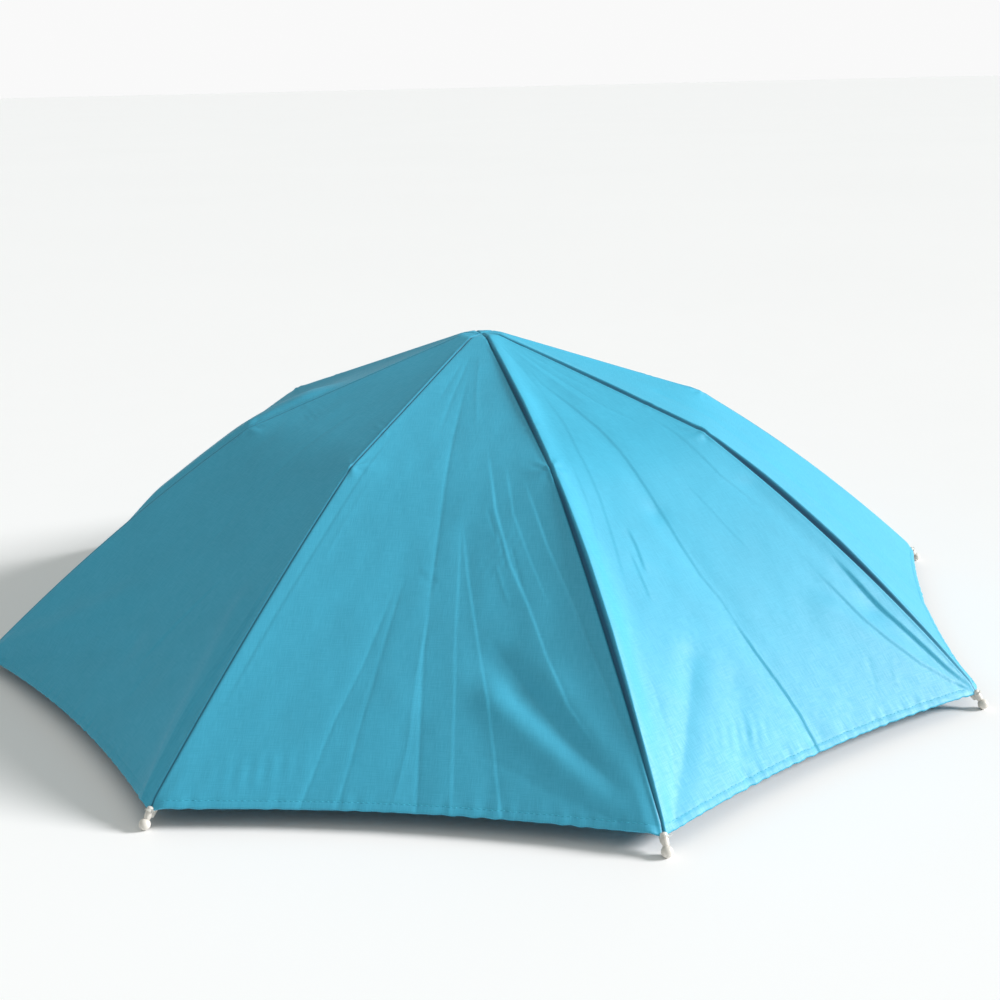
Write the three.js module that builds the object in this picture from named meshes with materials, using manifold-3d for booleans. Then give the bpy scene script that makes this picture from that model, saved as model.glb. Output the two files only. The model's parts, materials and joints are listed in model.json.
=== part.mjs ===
// An umbrella hat: a small eight-gore umbrella that is worn on the head by a headband.
// It stands as it would on a table, on its eight ball tips. Millimetres, +Z up, z = 0 at the
// lowest point of the balls, with the hat's axis on Z. Rib 1 points to -Y, and the ribs are
// counted counter-clockwise as seen from above.

import * as THREE from 'three';
import { mergeVertices } from 'three/addons/utils/BufferGeometryUtils.js';
import Module from 'manifold-3d';

// Canopy outline
const RIM_RADIUS = 330;
const CANOPY_RISE = 184;
const HINGE_RADIUS = 155.5;
const HINGE_DROP = 50.5;
const OUTER_RIB_TURN = 10.5;
const CROWN_FLAT_RADIUS = 14;
const CROWN_HOLE_RADIUS = 1.5;

// Canopy cloth
const RIB_COUNT = 8;
const CLOTH = 1.2;
const HEM_THICKNESS = 1.8;
const HEM_WIDTH = 8;
const HEM_SCALLOP = 7;
const GORE_SAG = 6;
const SEAM_CREST = 2.2;
const SEAM_CREST_WIDTH = 9;
const FOLD_WIDTH = 10;
const FOLD_RISE = 3;

// The low crest beside the seam where a gore starts: where it rises and falls, as shares of the
// gore's length, and its height in each gore, as a share of SEAM_CREST
const CREST_RISES = { from: 0.3, to: 0.55 };
const CREST_FALLS = { from: 0.92, to: 1 };
const CREST_SHARES = [1.35, 1.2, 0.9, 0.7, 0.8, 0.7, 0.5, 0.2];

// How finely curves are cut into flat facets
const CLOTH_GRID = 18;
const CLOTH_ROW_STEP = 25;
const ROD_GRID = 40;
const SMALL_ROUND_SIDES = 8;
const BALL_SIDES = 10;
const BALL_STEPS = 4;
const ROUND_SIDES = 24;
const BAND_SIDES = 64;

// Small clearance between neighbouring pieces
const GAP = 0.3;

// Ribs, stretchers and their pins
const CHANNEL_WALL = 0.6;
const LINK_THICKNESS = 2.2;
const LINK_WIDTH = 4;
const PIN_RADIUS = 0.7;
const CHANNEL_CHEEK = 1.5;
const CHANNEL_OVERRUN = 1.3;
const TONGUE_HEIGHT = 2.8;
const TONGUE_OVERLAP = 4;
const RIB_CLEARANCE = 0.85;
const STRETCHER_RADIUS = 118.8;

// Ball tips
const BALL_RADIUS = 3;
const SLEEVE_RADIUS = 1.75;
const SLEEVE_UNDER_CLOTH = 8;
const SLEEVE_BEYOND_CLOTH = 3;
const SLEEVE_BORE_DEPTH = 9;

// Hub, shaft and runner
const HUB_HEIGHT = 8;
const SLOT_INNER_RADIUS = 6.2;
const SHAFT_RADIUS = 4;
const SOCKET_DEPTH = 4;
const RUNNER_DROP = 58;
const RUNNER_RADIUS = 10.5;
const RUNNER_FLANGE = 7;
const RUNNER_SLEEVE_RADIUS = 6;
const RUNNER_LENGTH = 12;

// Crown plate, its arms and the headband
const CROWN_PLATE_DROP = 72;
const CROWN_PLATE_RADIUS = 32;
const CROWN_PLATE_THICKNESS = 3;
const BOSS_RADIUS = 8;
const BOSS_HEIGHT = 5;
const BAND_HALF_WIDTH = 78;
const BAND_HALF_LENGTH = 98;
const BAND_THICKNESS = 3;
const BAND_HEIGHT = 30;
const BAND_DROP = 152;
const ARM_WIDTH = 14;
const ARM_THICKNESS = 2;
const ARM_TAB = 20;

// How far each rib leans out of its regular place, in degrees about the hat's axis
const RIB_LEAN = [
  { rib: 1, at_hinge: -0.3, at_tip: 0.1 },
  { rib: 2, at_hinge: 1.4, at_tip: -0.5 },
  { rib: 3, at_hinge: 0.3, at_tip: 0 },
  { rib: 4, at_hinge: -0.6, at_tip: 0.4 },
  { rib: 5, at_hinge: 0.5, at_tip: 0 },
  { rib: 6, at_hinge: -0.4, at_tip: 0.3 },
  { rib: 7, at_hinge: 0.2, at_tip: 0 },
  { rib: 8, at_hinge: 1.6, at_tip: -0.4 },
];

// Folds of the cloth. Gore n lies between rib n and rib n + 1. Places across and down the gore
// are shares of its width and of its length from the crown to the hem. Widths are shares of
// FOLD_WIDTH, and rises are shares of FOLD_RISE, negative for a valley.
const FOLDS = [
  { gore: 1, across_0: 0.46, down_0: 0.2, across_1: 0.43, down_1: 0.55, width: 0.7, rise: -0.3 },
  { gore: 1, across_0: 0.43, down_0: 0.55, across_1: 0.5, down_1: 1.0, width: 0.8, rise: -0.6 },
  { gore: 1, across_0: 0.93, down_0: 0.55, across_1: 0.93, down_1: 0.82, width: 0.8, rise: -0.7 },
  { gore: 1, across_0: 0.93, down_0: 0.82, across_1: 0.98, down_1: 1.0, width: 1.2, rise: -0.8 },
  { gore: 1, across_0: 0.8, down_0: 0.8, across_1: 0.96, down_1: 0.98, width: 1.0, rise: 0.6 },
  { gore: 1, across_0: 0.25, down_0: 0.8, across_1: 0.02, down_1: 1.0, width: 0.9, rise: -0.8 },
  { gore: 1, across_0: 0.35, down_0: 0.86, across_1: 0.26, down_1: 1.0, width: 1.0, rise: -0.4 },
  { gore: 2, across_0: 0.12, down_0: 0.6, across_1: 0.03, down_1: 0.98, width: 1.2, rise: 0.5 },
  { gore: 2, across_0: 0.62, down_0: 0.35, across_1: 0.55, down_1: 1.0, width: 0.9, rise: -0.4 },
  { gore: 3, across_0: 0.44, down_0: 0.3, across_1: 0.52, down_1: 1.0, width: 0.9, rise: -0.5 },
  { gore: 3, across_0: 0.7, down_0: 0.74, across_1: 0.98, down_1: 0.99, width: 1.2, rise: 0.7 },
  { gore: 4, across_0: 0.5, down_0: 0.25, across_1: 0.46, down_1: 1.0, width: 0.8, rise: -0.5 },
  { gore: 4, across_0: 0.3, down_0: 0.8, across_1: 0.03, down_1: 0.99, width: 1.2, rise: 0.7 },
  { gore: 5, across_0: 0.42, down_0: 0.4, across_1: 0.5, down_1: 1.0, width: 0.8, rise: -0.5 },
  { gore: 5, across_0: 0.72, down_0: 0.78, across_1: 0.98, down_1: 0.99, width: 1.1, rise: 0.6 },
  { gore: 6, across_0: 0.55, down_0: 0.3, across_1: 0.48, down_1: 1.0, width: 0.8, rise: -0.5 },
  { gore: 6, across_0: 0.7, down_0: 0.8, across_1: 0.98, down_1: 0.99, width: 1.2, rise: 0.6 },
  { gore: 7, across_0: 0.3, down_0: 0.8, across_1: 0.03, down_1: 0.98, width: 1.2, rise: 0.7 },
  { gore: 7, across_0: 0.5, down_0: 0.86, across_1: 0.08, down_1: 0.99, width: 1.1, rise: -0.6 },
  { gore: 7, across_0: 0.88, down_0: 0.7, across_1: 0.97, down_1: 0.98, width: 0.9, rise: 0.6 },
  { gore: 8, across_0: 0.46, down_0: 0.12, across_1: 0.53, down_1: 1.0, width: 0.7, rise: -0.4 },
  { gore: 8, across_0: 0.59, down_0: 0.55, across_1: 0.68, down_1: 1.0, width: 0.7, rise: -0.4 },
  { gore: 8, across_0: 0.39, down_0: 0.6, across_1: 0.3, down_1: 1.0, width: 0.8, rise: -0.3 },
  { gore: 8, across_0: 0.75, down_0: 0.55, across_1: 0.84, down_1: 0.8, width: 0.9, rise: 0.5 },
  { gore: 8, across_0: 0.84, down_0: 0.8, across_1: 0.99, down_1: 0.99, width: 1.0, rise: 0.8 },
  { gore: 8, across_0: 0.7, down_0: 0.77, across_1: 0.97, down_1: 0.98, width: 1.0, rise: -0.9 },
  { gore: 8, across_0: 0.68, down_0: 0.83, across_1: 0.98, down_1: 0.99, width: 1.1, rise: 0.9 },
  { gore: 8, across_0: 0.02, down_0: 0.99, across_1: 0.45, down_1: 0.84, width: 1.3, rise: 0.5 },
];

const DEG = Math.PI / 180;
const RIB_STEP = 2 * Math.PI / RIB_COUNT;

const wasm = await Module();
wasm.setup();

// Rib profile: from the flat crown a straight inner section runs to the hinge, and an arc
// with the given turn runs from there to the corner of the cloth.
const innerRun = HINGE_RADIUS - CROWN_FLAT_RADIUS;
const INNER_SLOPE = Math.atan2(HINGE_DROP, innerRun);
const INNER_LENGTH = Math.hypot(innerRun, HINGE_DROP);
const outerChord = Math.hypot(RIM_RADIUS - HINGE_RADIUS, CANOPY_RISE - HINGE_DROP);
const outerChordSlope = Math.atan2(CANOPY_RISE - HINGE_DROP, RIM_RADIUS - HINGE_RADIUS);
const OUTER_SLOPE = outerChordSlope - OUTER_RIB_TURN * DEG / 2;
const OUTER_RADIUS = outerChord / 2 / Math.sin(OUTER_RIB_TURN * DEG / 2);
const OUTER_LENGTH = OUTER_RADIUS * OUTER_RIB_TURN * DEG;
const CROWN_LENGTH = CROWN_FLAT_RADIUS - CROWN_HOLE_RADIUS;
const HINGE_AT = CROWN_LENGTH + INNER_LENGTH;
const RIB_LENGTH = HINGE_AT + OUTER_LENGTH;

// Depths below the cloth's outer face, and the height that puts the balls on z = 0
const CHANNEL_DEPTH = CLOTH + RIB_CLEARANCE;
const PIN_DEPTH = CHANNEL_DEPTH + CHANNEL_WALL + GAP + LINK_WIDTH / 2;
const TIP_DEPTH = HEM_THICKNESS + RIB_CLEARANCE + SLEEVE_RADIUS;
const TIP_SLOPE = OUTER_SLOPE + OUTER_RIB_TURN * DEG;
const BALL_AT = SLEEVE_BEYOND_CLOTH + BALL_RADIUS;
const CROWN_Z = CANOPY_RISE + TIP_DEPTH * Math.cos(TIP_SLOPE) + BALL_AT * Math.sin(TIP_SLOPE) + BALL_RADIUS;
const PLATE_TOP = CROWN_Z - CROWN_PLATE_DROP;

// The hub fits under the flat crown, whose edge runs straight from rib to rib
const HUB_RADIUS = CROWN_FLAT_RADIUS * Math.cos(RIB_STEP / 2);

// The stretcher's pin under the inner rib: its place along the rib, and its radius and height
const STRETCHER_ALONG = (STRETCHER_RADIUS - CROWN_FLAT_RADIUS) / Math.cos(INNER_SLOPE);
const STRETCHER_PIN = new THREE.Vector2(
  STRETCHER_RADIUS - PIN_DEPTH * Math.sin(INNER_SLOPE),
  CROWN_Z - STRETCHER_ALONG * Math.sin(INNER_SLOPE) - PIN_DEPTH * Math.cos(INNER_SLOPE),
);

const STEEL = new THREE.MeshStandardMaterial({ color: 0xb9bdc2, roughness: 0.35, metalness: 1 });
const CLOTH_BLUE = new THREE.MeshStandardMaterial({ color: 0x2f93c4, roughness: 0.45, metalness: 0 });
const BLACK_PLASTIC = new THREE.MeshStandardMaterial({ color: 0x17181a, roughness: 0.5, metalness: 0 });
const WHITE_PLASTIC = new THREE.MeshStandardMaterial({ color: 0xe9e8e2, roughness: 0.4, metalness: 0 });
const BAND_CLOTH = new THREE.MeshStandardMaterial({ color: 0x1c1d20, roughness: 0.9, metalness: 0 });

const clamp01 = (t) => Math.min(1, Math.max(0, t));
const smooth = (t) => clamp01(t) ** 2 * (3 - 2 * clamp01(t));

// Goes from 0 to 1 between two values
const easedBetween = (value, from, to) => smooth((value - from) / (to - from));

// Goes from 0 to 1 over a width with its middle at zero
const easedStep = (value, width) => easedBetween(value, -width / 2, width / 2);

// Distance along a rib from the crown hole: radius, height below the crown, and slope
function profile(along) {
  if (along <= CROWN_LENGTH) {
    return { radius: CROWN_HOLE_RADIUS + along, drop: 0, slope: 0 };
  }
  if (along <= HINGE_AT) {
    const share = (along - CROWN_LENGTH) / INNER_LENGTH;
    return {
      radius: CROWN_FLAT_RADIUS + share * innerRun,
      drop: share * HINGE_DROP,
      slope: INNER_SLOPE,
    };
  }
  const turned = OUTER_SLOPE + (along - HINGE_AT) / OUTER_RADIUS;
  return {
    radius: HINGE_RADIUS + OUTER_RADIUS * (Math.sin(turned) - Math.sin(OUTER_SLOPE)),
    drop: HINGE_DROP + OUTER_RADIUS * (Math.cos(OUTER_SLOPE) - Math.cos(turned)),
    slope: turned,
  };
}

// Slope for offsets, eased over the two bends of the rib so that a wall keeps its thickness there
function easedSlope(along) {
  const crown = easedStep(along - CROWN_LENGTH, HEM_WIDTH);
  const hinge = easedStep(along - HINGE_AT, HEM_WIDTH);
  const outer = Math.max(OUTER_SLOPE, profile(along).slope);
  return INNER_SLOPE * crown * (1 - hinge) + outer * hinge;
}

// Bearing of rib n about the axis at a share of its outer section
function ribBearing(rib, outerShare) {
  const lean = RIB_LEAN[(rib - 1) % RIB_COUNT];
  const leanDegrees = lean.at_hinge + (lean.at_tip - lean.at_hinge) * clamp01(outerShare);
  return -Math.PI / 2 + (rib - 1) * RIB_STEP + leanDegrees * DEG;
}

const bearingAt = (rib, along) => ribBearing(rib, (along - HINGE_AT) / OUTER_LENGTH);

// A point under a rib's line on the cloth, by its depth below the cloth's outer face
function ribPoint(rib, along, depth, sideways = 0) {
  const { radius, drop } = profile(along);
  const slope = easedSlope(along);
  const bearing = bearingAt(rib, along);
  const reach = radius - depth * Math.sin(slope);
  return new THREE.Vector3(
    reach * Math.cos(bearing) - sideways * Math.sin(bearing),
    reach * Math.sin(bearing) + sideways * Math.cos(bearing),
    CROWN_Z - drop - depth * Math.cos(slope),
  );
}

// Closed geometry from vertices and triangles
function closedGeometry(vertices, triangles) {
  const geometry = new THREE.BufferGeometry();
  geometry.setAttribute('position', new THREE.Float32BufferAttribute(vertices.flat(), 3));
  geometry.setIndex(triangles.flat());
  return geometry;
}

function toManifold(geometry) {
  const bare = geometry.clone();
  bare.deleteAttribute('normal');
  bare.deleteAttribute('uv');
  const merged = mergeVertices(bare, 1e-4);
  return new wasm.Manifold(new wasm.Mesh({
    numProp: 3,
    vertProperties: new Float32Array(merged.attributes.position.array),
    triVerts: new Uint32Array(merged.index.array),
  }));
}

function fromManifold(solid) {
  const mesh = solid.getMesh();
  const geometry = new THREE.BufferGeometry();
  geometry.setAttribute('position', new THREE.BufferAttribute(mesh.vertProperties, 3));
  geometry.setIndex(new THREE.BufferAttribute(mesh.triVerts, 1));
  return geometry;
}

function joined(...geometries) {
  return fromManifold(geometries.map(toManifold).reduce((sum, next) => sum.add(next)));
}

function cut(geometry, ...tools) {
  const whole = toManifold(geometry);
  return fromManifold(tools.map(toManifold).reduce((rest, tool) => rest.subtract(tool), whole));
}

// A box that spans two corners
function boxBetween(low, high) {
  const size = high.map((value, axis) => value - low[axis]);
  const geometry = new THREE.BoxGeometry(...size);
  geometry.translate(...low.map((value, axis) => value + size[axis] / 2));
  return geometry;
}

// A cylinder along the Y axis through a place in the XZ plane
function crossPin(x, z, radius, length) {
  const geometry = new THREE.CylinderGeometry(radius, radius, length, SMALL_ROUND_SIDES);
  geometry.translate(x, 0, z);
  return geometry;
}

// A disc or sleeve about the Z axis from its section, as radius and height pairs
function turnedPiece(section, segments) {
  const geometry = new THREE.LatheGeometry(section.map((pair) => new THREE.Vector2(...pair)), segments);
  geometry.rotateX(Math.PI / 2);
  return geometry;
}

// Height of a gore's folds at a place, as a sum of ridges and valleys along straight lines
function foldRise(gore, across, down) {
  const width = Math.max(1, 2 * profile(down * RIB_LENGTH).radius * Math.sin(RIB_STEP / 2));
  let rise = 0;
  for (const fold of FOLDS.filter((row) => row.gore === gore)) {
    const runAcross = (fold.across_1 - fold.across_0) * width;
    const runDown = (fold.down_1 - fold.down_0) * RIB_LENGTH;
    const toAcross = (across - fold.across_0) * width;
    const toDown = (down - fold.down_0) * RIB_LENGTH;
    const share = clamp01((toAcross * runAcross + toDown * runDown) / (runAcross ** 2 + runDown ** 2));
    const away = Math.hypot(toAcross - share * runAcross, toDown - share * runDown);
    rise += fold.rise * FOLD_RISE * Math.exp(-((away / (fold.width * FOLD_WIDTH)) ** 2));
  }
  return rise;
}

// Height of the crest beside the seam where a gore starts, by the distance from that seam
function seamCrest(gore, fromSeam, down) {
  const rises = easedBetween(down, CREST_RISES.from, CREST_RISES.to);
  const falls = easedBetween(down, CREST_FALLS.from, CREST_FALLS.to);
  const place = fromSeam / SEAM_CREST_WIDTH;
  return SEAM_CREST * CREST_SHARES[gore - 1] * rises * (1 - falls) * place * Math.exp(1 - place);
}

// A gore's outer face, offset inwards by a depth. It hangs in a shallow curve between two ribs,
// rises in a low crest beside the seam at its start, and meets both seams at the ribs' lines.
function clothPoint(gore, across, down, depth) {
  const scallop = HEM_SCALLOP * 4 * across * (1 - across) * smooth(down) / RIB_LENGTH;
  const along = down * (1 - scallop) * RIB_LENGTH;
  const start = ribPoint(gore, along, 0, GAP / 2);
  const end = ribPoint(gore + 1, along, 0, -GAP / 2);
  const place = start.clone().lerp(end, across);
  const width = start.distanceTo(end);
  const slope = easedSlope(along);
  const bearing = (1 - across) * bearingAt(gore, along) + across * (bearingAt(gore + 1, along));
  const edgeEase = smooth(width * Math.min(across, 1 - across) / SEAM_CREST_WIDTH);
  const sag = GORE_SAG * 4 * across * (1 - across) * smooth(width / (RIM_RADIUS * RIB_STEP));
  const lift = seamCrest(gore, width * across, down) - sag + edgeEase * foldRise(gore, across, down) - depth;
  place.x += lift * Math.sin(slope) * Math.cos(bearing);
  place.y += lift * Math.sin(slope) * Math.sin(bearing);
  place.z += lift * Math.cos(slope);
  return place.toArray();
}

// Shares of a gore's length at which its grid has rows: even steps, and one row on each bend
// of the rib and on each side of the hem's inner edge
function clothRows() {
  const fixed = [0, CROWN_LENGTH, HINGE_AT, RIB_LENGTH - HEM_WIDTH, RIB_LENGTH];
  const rows = [];
  for (let part = 0; part + 1 < fixed.length; part += 1) {
    const length = fixed[part + 1] - fixed[part];
    const steps = Math.max(1, Math.round(length / CLOTH_ROW_STEP));
    for (let step = 0; step < steps; step += 1) {
      rows.push((fixed[part] + length * step / steps) / RIB_LENGTH);
    }
  }
  return [...rows, 1];
}

// Triangles between two rows of vertices that may have different counts
function stitch(upper, lower) {
  const triangles = [];
  let left = 0;
  let right = 0;
  while (left < upper.length - 1 || right < lower.length - 1) {
    const nextUpper = (left + 1) / (upper.length - 1 || 1);
    const nextLower = (right + 1) / (lower.length - 1 || 1);
    if (right >= lower.length - 1 || (left < upper.length - 1 && nextUpper < nextLower)) {
      triangles.push([upper[left], lower[right], upper[left + 1]]);
      left += 1;
    } else {
      triangles.push([upper[left], lower[right], lower[right + 1]]);
      right += 1;
    }
  }
  return triangles;
}

function goreGeometry(gore) {
  const vertices = [];
  const faces = [];
  const rows = clothRows().map((down) => {
    const width = 2 * profile(down * RIB_LENGTH).radius * Math.sin(RIB_STEP / 2);
    const columns = Math.max(1, Math.round(width / CLOTH_GRID));
    const inHem = easedStep(down * RIB_LENGTH - RIB_LENGTH + HEM_WIDTH, HEM_WIDTH);
    const thickness = CLOTH + (HEM_THICKNESS - CLOTH) * inHem;
    const outer = [];
    const inner = [];
    for (let column = 0; column <= columns; column += 1) {
      const across = column / columns;
      outer.push(vertices.push(clothPoint(gore, across, down, 0)) - 1);
      inner.push(vertices.push(clothPoint(gore, across, down, thickness)) - 1);
    }
    return { outer, inner };
  });
  const flip = ([a, b, c]) => [a, c, b];
  for (let row = 0; row + 1 < rows.length; row += 1) {
    const [upper, lower] = [rows[row], rows[row + 1]];
    faces.push(...stitch(upper.outer, lower.outer));
    faces.push(...stitch(upper.inner, lower.inner).map(flip));
    faces.push(...stitch([upper.inner[0], upper.outer[0]], [lower.inner[0], lower.outer[0]]));
    faces.push(...stitch([upper.outer.at(-1), upper.inner.at(-1)], [lower.outer.at(-1), lower.inner.at(-1)]));
  }
  faces.push(...stitch(rows[0].inner, rows[0].outer));
  faces.push(...stitch(rows.at(-1).outer, rows.at(-1).inner));
  return closedGeometry(vertices, faces);
}

// Place along the inner rib at which a corner at a depth below it clears an upright wall
function clearOf(radius, depth) {
  return (radius + GAP - CROWN_FLAT_RADIUS + depth * Math.sin(INNER_SLOPE)) / Math.cos(INNER_SLOPE);
}

// Inner rib: a steel channel open below, along its own X axis from the edge of the flat crown,
// with a tongue for the hub's slot and two cross pins
function innerRibGeometry() {
  const outerHalf = LINK_THICKNESS / 2 + GAP + CHANNEL_WALL;
  const top = -CHANNEL_DEPTH;
  const bottom = -PIN_DEPTH - CHANNEL_CHEEK;
  const start = clearOf(HUB_RADIUS, -bottom);
  const end = INNER_LENGTH + CHANNEL_OVERRUN;
  const body = boxBetween([start, -outerHalf, bottom], [end, outerHalf, top]);
  const groove = boxBetween(
    [start + TONGUE_OVERLAP, -LINK_THICKNESS / 2 - GAP, bottom - 1],
    [end + 1, LINK_THICKNESS / 2 + GAP, top - CHANNEL_WALL],
  );
  const tongueTop = -PIN_DEPTH + TONGUE_HEIGHT / 2;
  const tongue = boxBetween(
    [clearOf(SLOT_INNER_RADIUS, TONGUE_HEIGHT - tongueTop), -LINK_THICKNESS / 2, tongueTop - TONGUE_HEIGHT],
    [start + TONGUE_OVERLAP, LINK_THICKNESS / 2, tongueTop],
  );
  const pinLength = 2 * outerHalf - CHANNEL_WALL;
  const pins = [STRETCHER_ALONG, INNER_LENGTH].map((x) => crossPin(x, -PIN_DEPTH, PIN_RADIUS, pinLength));
  return joined(cut(body, groove), tongue, ...pins);
}

// Outer rib: a round steel rod along the arc under the seam, with a flat eye on the hinge pin
function outerRibGeometry(rib) {
  const rodEnd = RIB_LENGTH + SLEEVE_BORE_DEPTH - SLEEVE_UNDER_CLOTH - GAP;
  const steps = Math.ceil(OUTER_LENGTH / ROD_GRID);
  const points = [];
  for (let step = 0; step <= steps; step += 1) {
    const share = step / steps;
    const along = HINGE_AT + LINK_WIDTH / 4 + (rodEnd - HINGE_AT - LINK_WIDTH / 4) * share;
    points.push(rodPoint(rib, along));
  }
  const eye = crossPin(0, 0, LINK_WIDTH / 2, LINK_THICKNESS);
  const hole = crossPin(0, 0, PIN_RADIUS + GAP, 2 * LINK_THICKNESS);
  const turn = new THREE.Matrix4().makeRotationZ(ribBearing(rib, 0));
  const [eyePlaced, holePlaced] = [eye, hole].map((piece) => {
    piece.applyMatrix4(turn);
    piece.translate(...hingePoint(rib).toArray());
    return piece;
  });
  return cut(joined(rod(points, LINK_THICKNESS / 2), eyePlaced), holePlaced);
}

// Centre line of the outer rod: from the hinge pin's depth it comes up to the tip's depth
function rodPoint(rib, along) {
  const share = clamp01((along - HINGE_AT) / OUTER_LENGTH);
  const depth = TIP_DEPTH + (PIN_DEPTH - TIP_DEPTH) * (1 - share) ** 3;
  if (along <= RIB_LENGTH) {
    return ribPoint(rib, along, depth);
  }
  return ribPoint(rib, RIB_LENGTH, depth).addScaledVector(tipDirection(rib), along - RIB_LENGTH);
}

// The direction in which a rib runs out at the corner of the cloth
function tipDirection(rib) {
  const step = 1;
  const before = ribPoint(rib, RIB_LENGTH - step, TIP_DEPTH);
  return ribPoint(rib, RIB_LENGTH, TIP_DEPTH).sub(before).normalize();
}

// Centre of the hinge pin on the inner rib's own line
function hingePoint(rib) {
  const reach = HINGE_RADIUS - PIN_DEPTH * Math.sin(INNER_SLOPE);
  const height = CROWN_Z - HINGE_DROP - PIN_DEPTH * Math.cos(INNER_SLOPE);
  const bearing = ribBearing(rib, 0);
  return new THREE.Vector3(reach * Math.cos(bearing), reach * Math.sin(bearing), height);
}

// A round rod through points
function rod(points, radius) {
  const section = new THREE.Shape();
  section.absarc(0, 0, radius, 0, 2 * Math.PI, false);
  return new THREE.ExtrudeGeometry(section, {
    steps: points.length - 1,
    curveSegments: SMALL_ROUND_SIDES / 2,
    bevelEnabled: false,
    extrudePath: new THREE.CatmullRomCurve3(points),
  });
}

// Stretcher: a flat bar with round ends, from the runner to the pin under the inner rib, drawn in
// the rib's plane with X outwards and Z up
function stretcherGeometry() {
  const low = new THREE.Vector2(SLOT_INNER_RADIUS + GAP + LINK_WIDTH / 2, CROWN_Z - RUNNER_DROP);
  const high = STRETCHER_PIN;
  const angle = high.clone().sub(low).angle();
  const outline = new THREE.Shape();
  outline.absarc(low.x, low.y, LINK_WIDTH / 2, angle + Math.PI / 2, angle + 3 * Math.PI / 2, false);
  outline.absarc(high.x, high.y, LINK_WIDTH / 2, angle - Math.PI / 2, angle + Math.PI / 2, false);
  const eye = new THREE.Path();
  eye.absarc(high.x, high.y, PIN_RADIUS + GAP, 0, 2 * Math.PI, true);
  outline.holes.push(eye);
  const bar = new THREE.ExtrudeGeometry(outline, {
    depth: LINK_THICKNESS,
    curveSegments: SMALL_ROUND_SIDES / 2,
    bevelEnabled: false,
  });
  bar.translate(0, 0, -LINK_THICKNESS / 2);
  bar.rotateX(Math.PI / 2);
  return bar;
}

// Ball tip about its own Z axis, which runs outwards from the corner of the cloth: a sleeve with
// a blind bore for the rod, and a ball at its end
function tipGeometry() {
  const bore = LINK_THICKNESS / 2 + GAP;
  const ballStart = Math.asin(SLEEVE_RADIUS / BALL_RADIUS);
  const section = [
    [0, SLEEVE_BORE_DEPTH - SLEEVE_UNDER_CLOTH],
    [bore, SLEEVE_BORE_DEPTH - SLEEVE_UNDER_CLOTH],
    [bore, -SLEEVE_UNDER_CLOTH],
    [SLEEVE_RADIUS, -SLEEVE_UNDER_CLOTH],
  ];
  for (let step = 0; step <= BALL_STEPS; step += 1) {
    const angle = Math.PI - ballStart - (Math.PI - ballStart) * step / BALL_STEPS;
    const radius = step === BALL_STEPS ? 0 : BALL_RADIUS * Math.sin(angle);
    section.push([radius, BALL_AT + BALL_RADIUS * Math.cos(angle)]);
  }
  return turnedPiece(section, BALL_SIDES);
}

// Radial slots for the ribs or stretchers, from a radius outwards and over a height
function ribSlots(from, to, low, high) {
  const slots = [];
  for (let rib = 1; rib <= RIB_COUNT; rib += 1) {
    const slot = boxBetween([from, -LINK_THICKNESS / 2 - GAP, low], [to, LINK_THICKNESS / 2 + GAP, high]);
    slot.rotateZ(ribBearing(rib, 0));
    slots.push(slot);
  }
  return slots;
}

function hubGeometry() {
  const top = CROWN_Z - CLOTH - GAP;
  const bottom = top - HUB_HEIGHT;
  const socket = SHAFT_RADIUS + GAP;
  const body = turnedPiece([
    [0, bottom + SOCKET_DEPTH],
    [socket, bottom + SOCKET_DEPTH],
    [socket, bottom],
    [HUB_RADIUS, bottom],
    [HUB_RADIUS, top],
    [0, top],
  ], ROUND_SIDES);
  return cut(body, ...ribSlots(SLOT_INNER_RADIUS, HUB_RADIUS + 1, bottom - 1, top + 1));
}

function shaftGeometry() {
  const top = CROWN_Z - CLOTH - GAP - HUB_HEIGHT + SOCKET_DEPTH - GAP;
  const bottom = PLATE_TOP + GAP;
  const geometry = new THREE.CylinderGeometry(SHAFT_RADIUS, SHAFT_RADIUS, top - bottom, ROUND_SIDES);
  geometry.rotateX(Math.PI / 2);
  geometry.translate(0, 0, (top + bottom) / 2);
  return geometry;
}

function runnerGeometry() {
  const middle = CROWN_Z - RUNNER_DROP;
  const top = middle + RUNNER_FLANGE / 2;
  const shoulder = middle - RUNNER_FLANGE / 2;
  const bottom = top - RUNNER_LENGTH;
  const bore = SHAFT_RADIUS + GAP;
  const body = turnedPiece([
    [bore, top],
    [bore, bottom],
    [RUNNER_SLEEVE_RADIUS, bottom],
    [RUNNER_SLEEVE_RADIUS, shoulder],
    [RUNNER_RADIUS, shoulder],
    [RUNNER_RADIUS, top],
    [bore, top],
  ], ROUND_SIDES);
  return cut(body, ...ribSlots(SLOT_INNER_RADIUS, RUNNER_RADIUS + 1, shoulder - 1, top + 1));
}

function crownPlateGeometry() {
  const bottom = CROWN_Z - CROWN_PLATE_DROP - CROWN_PLATE_THICKNESS;
  const socket = SHAFT_RADIUS + GAP;
  return turnedPiece([
    [0, bottom],
    [CROWN_PLATE_RADIUS, bottom],
    [CROWN_PLATE_RADIUS, PLATE_TOP],
    [BOSS_RADIUS, PLATE_TOP],
    [BOSS_RADIUS, PLATE_TOP + BOSS_HEIGHT],
    [socket, PLATE_TOP + BOSS_HEIGHT],
    [socket, PLATE_TOP],
    [0, PLATE_TOP],
  ], ROUND_SIDES);
}

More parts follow.
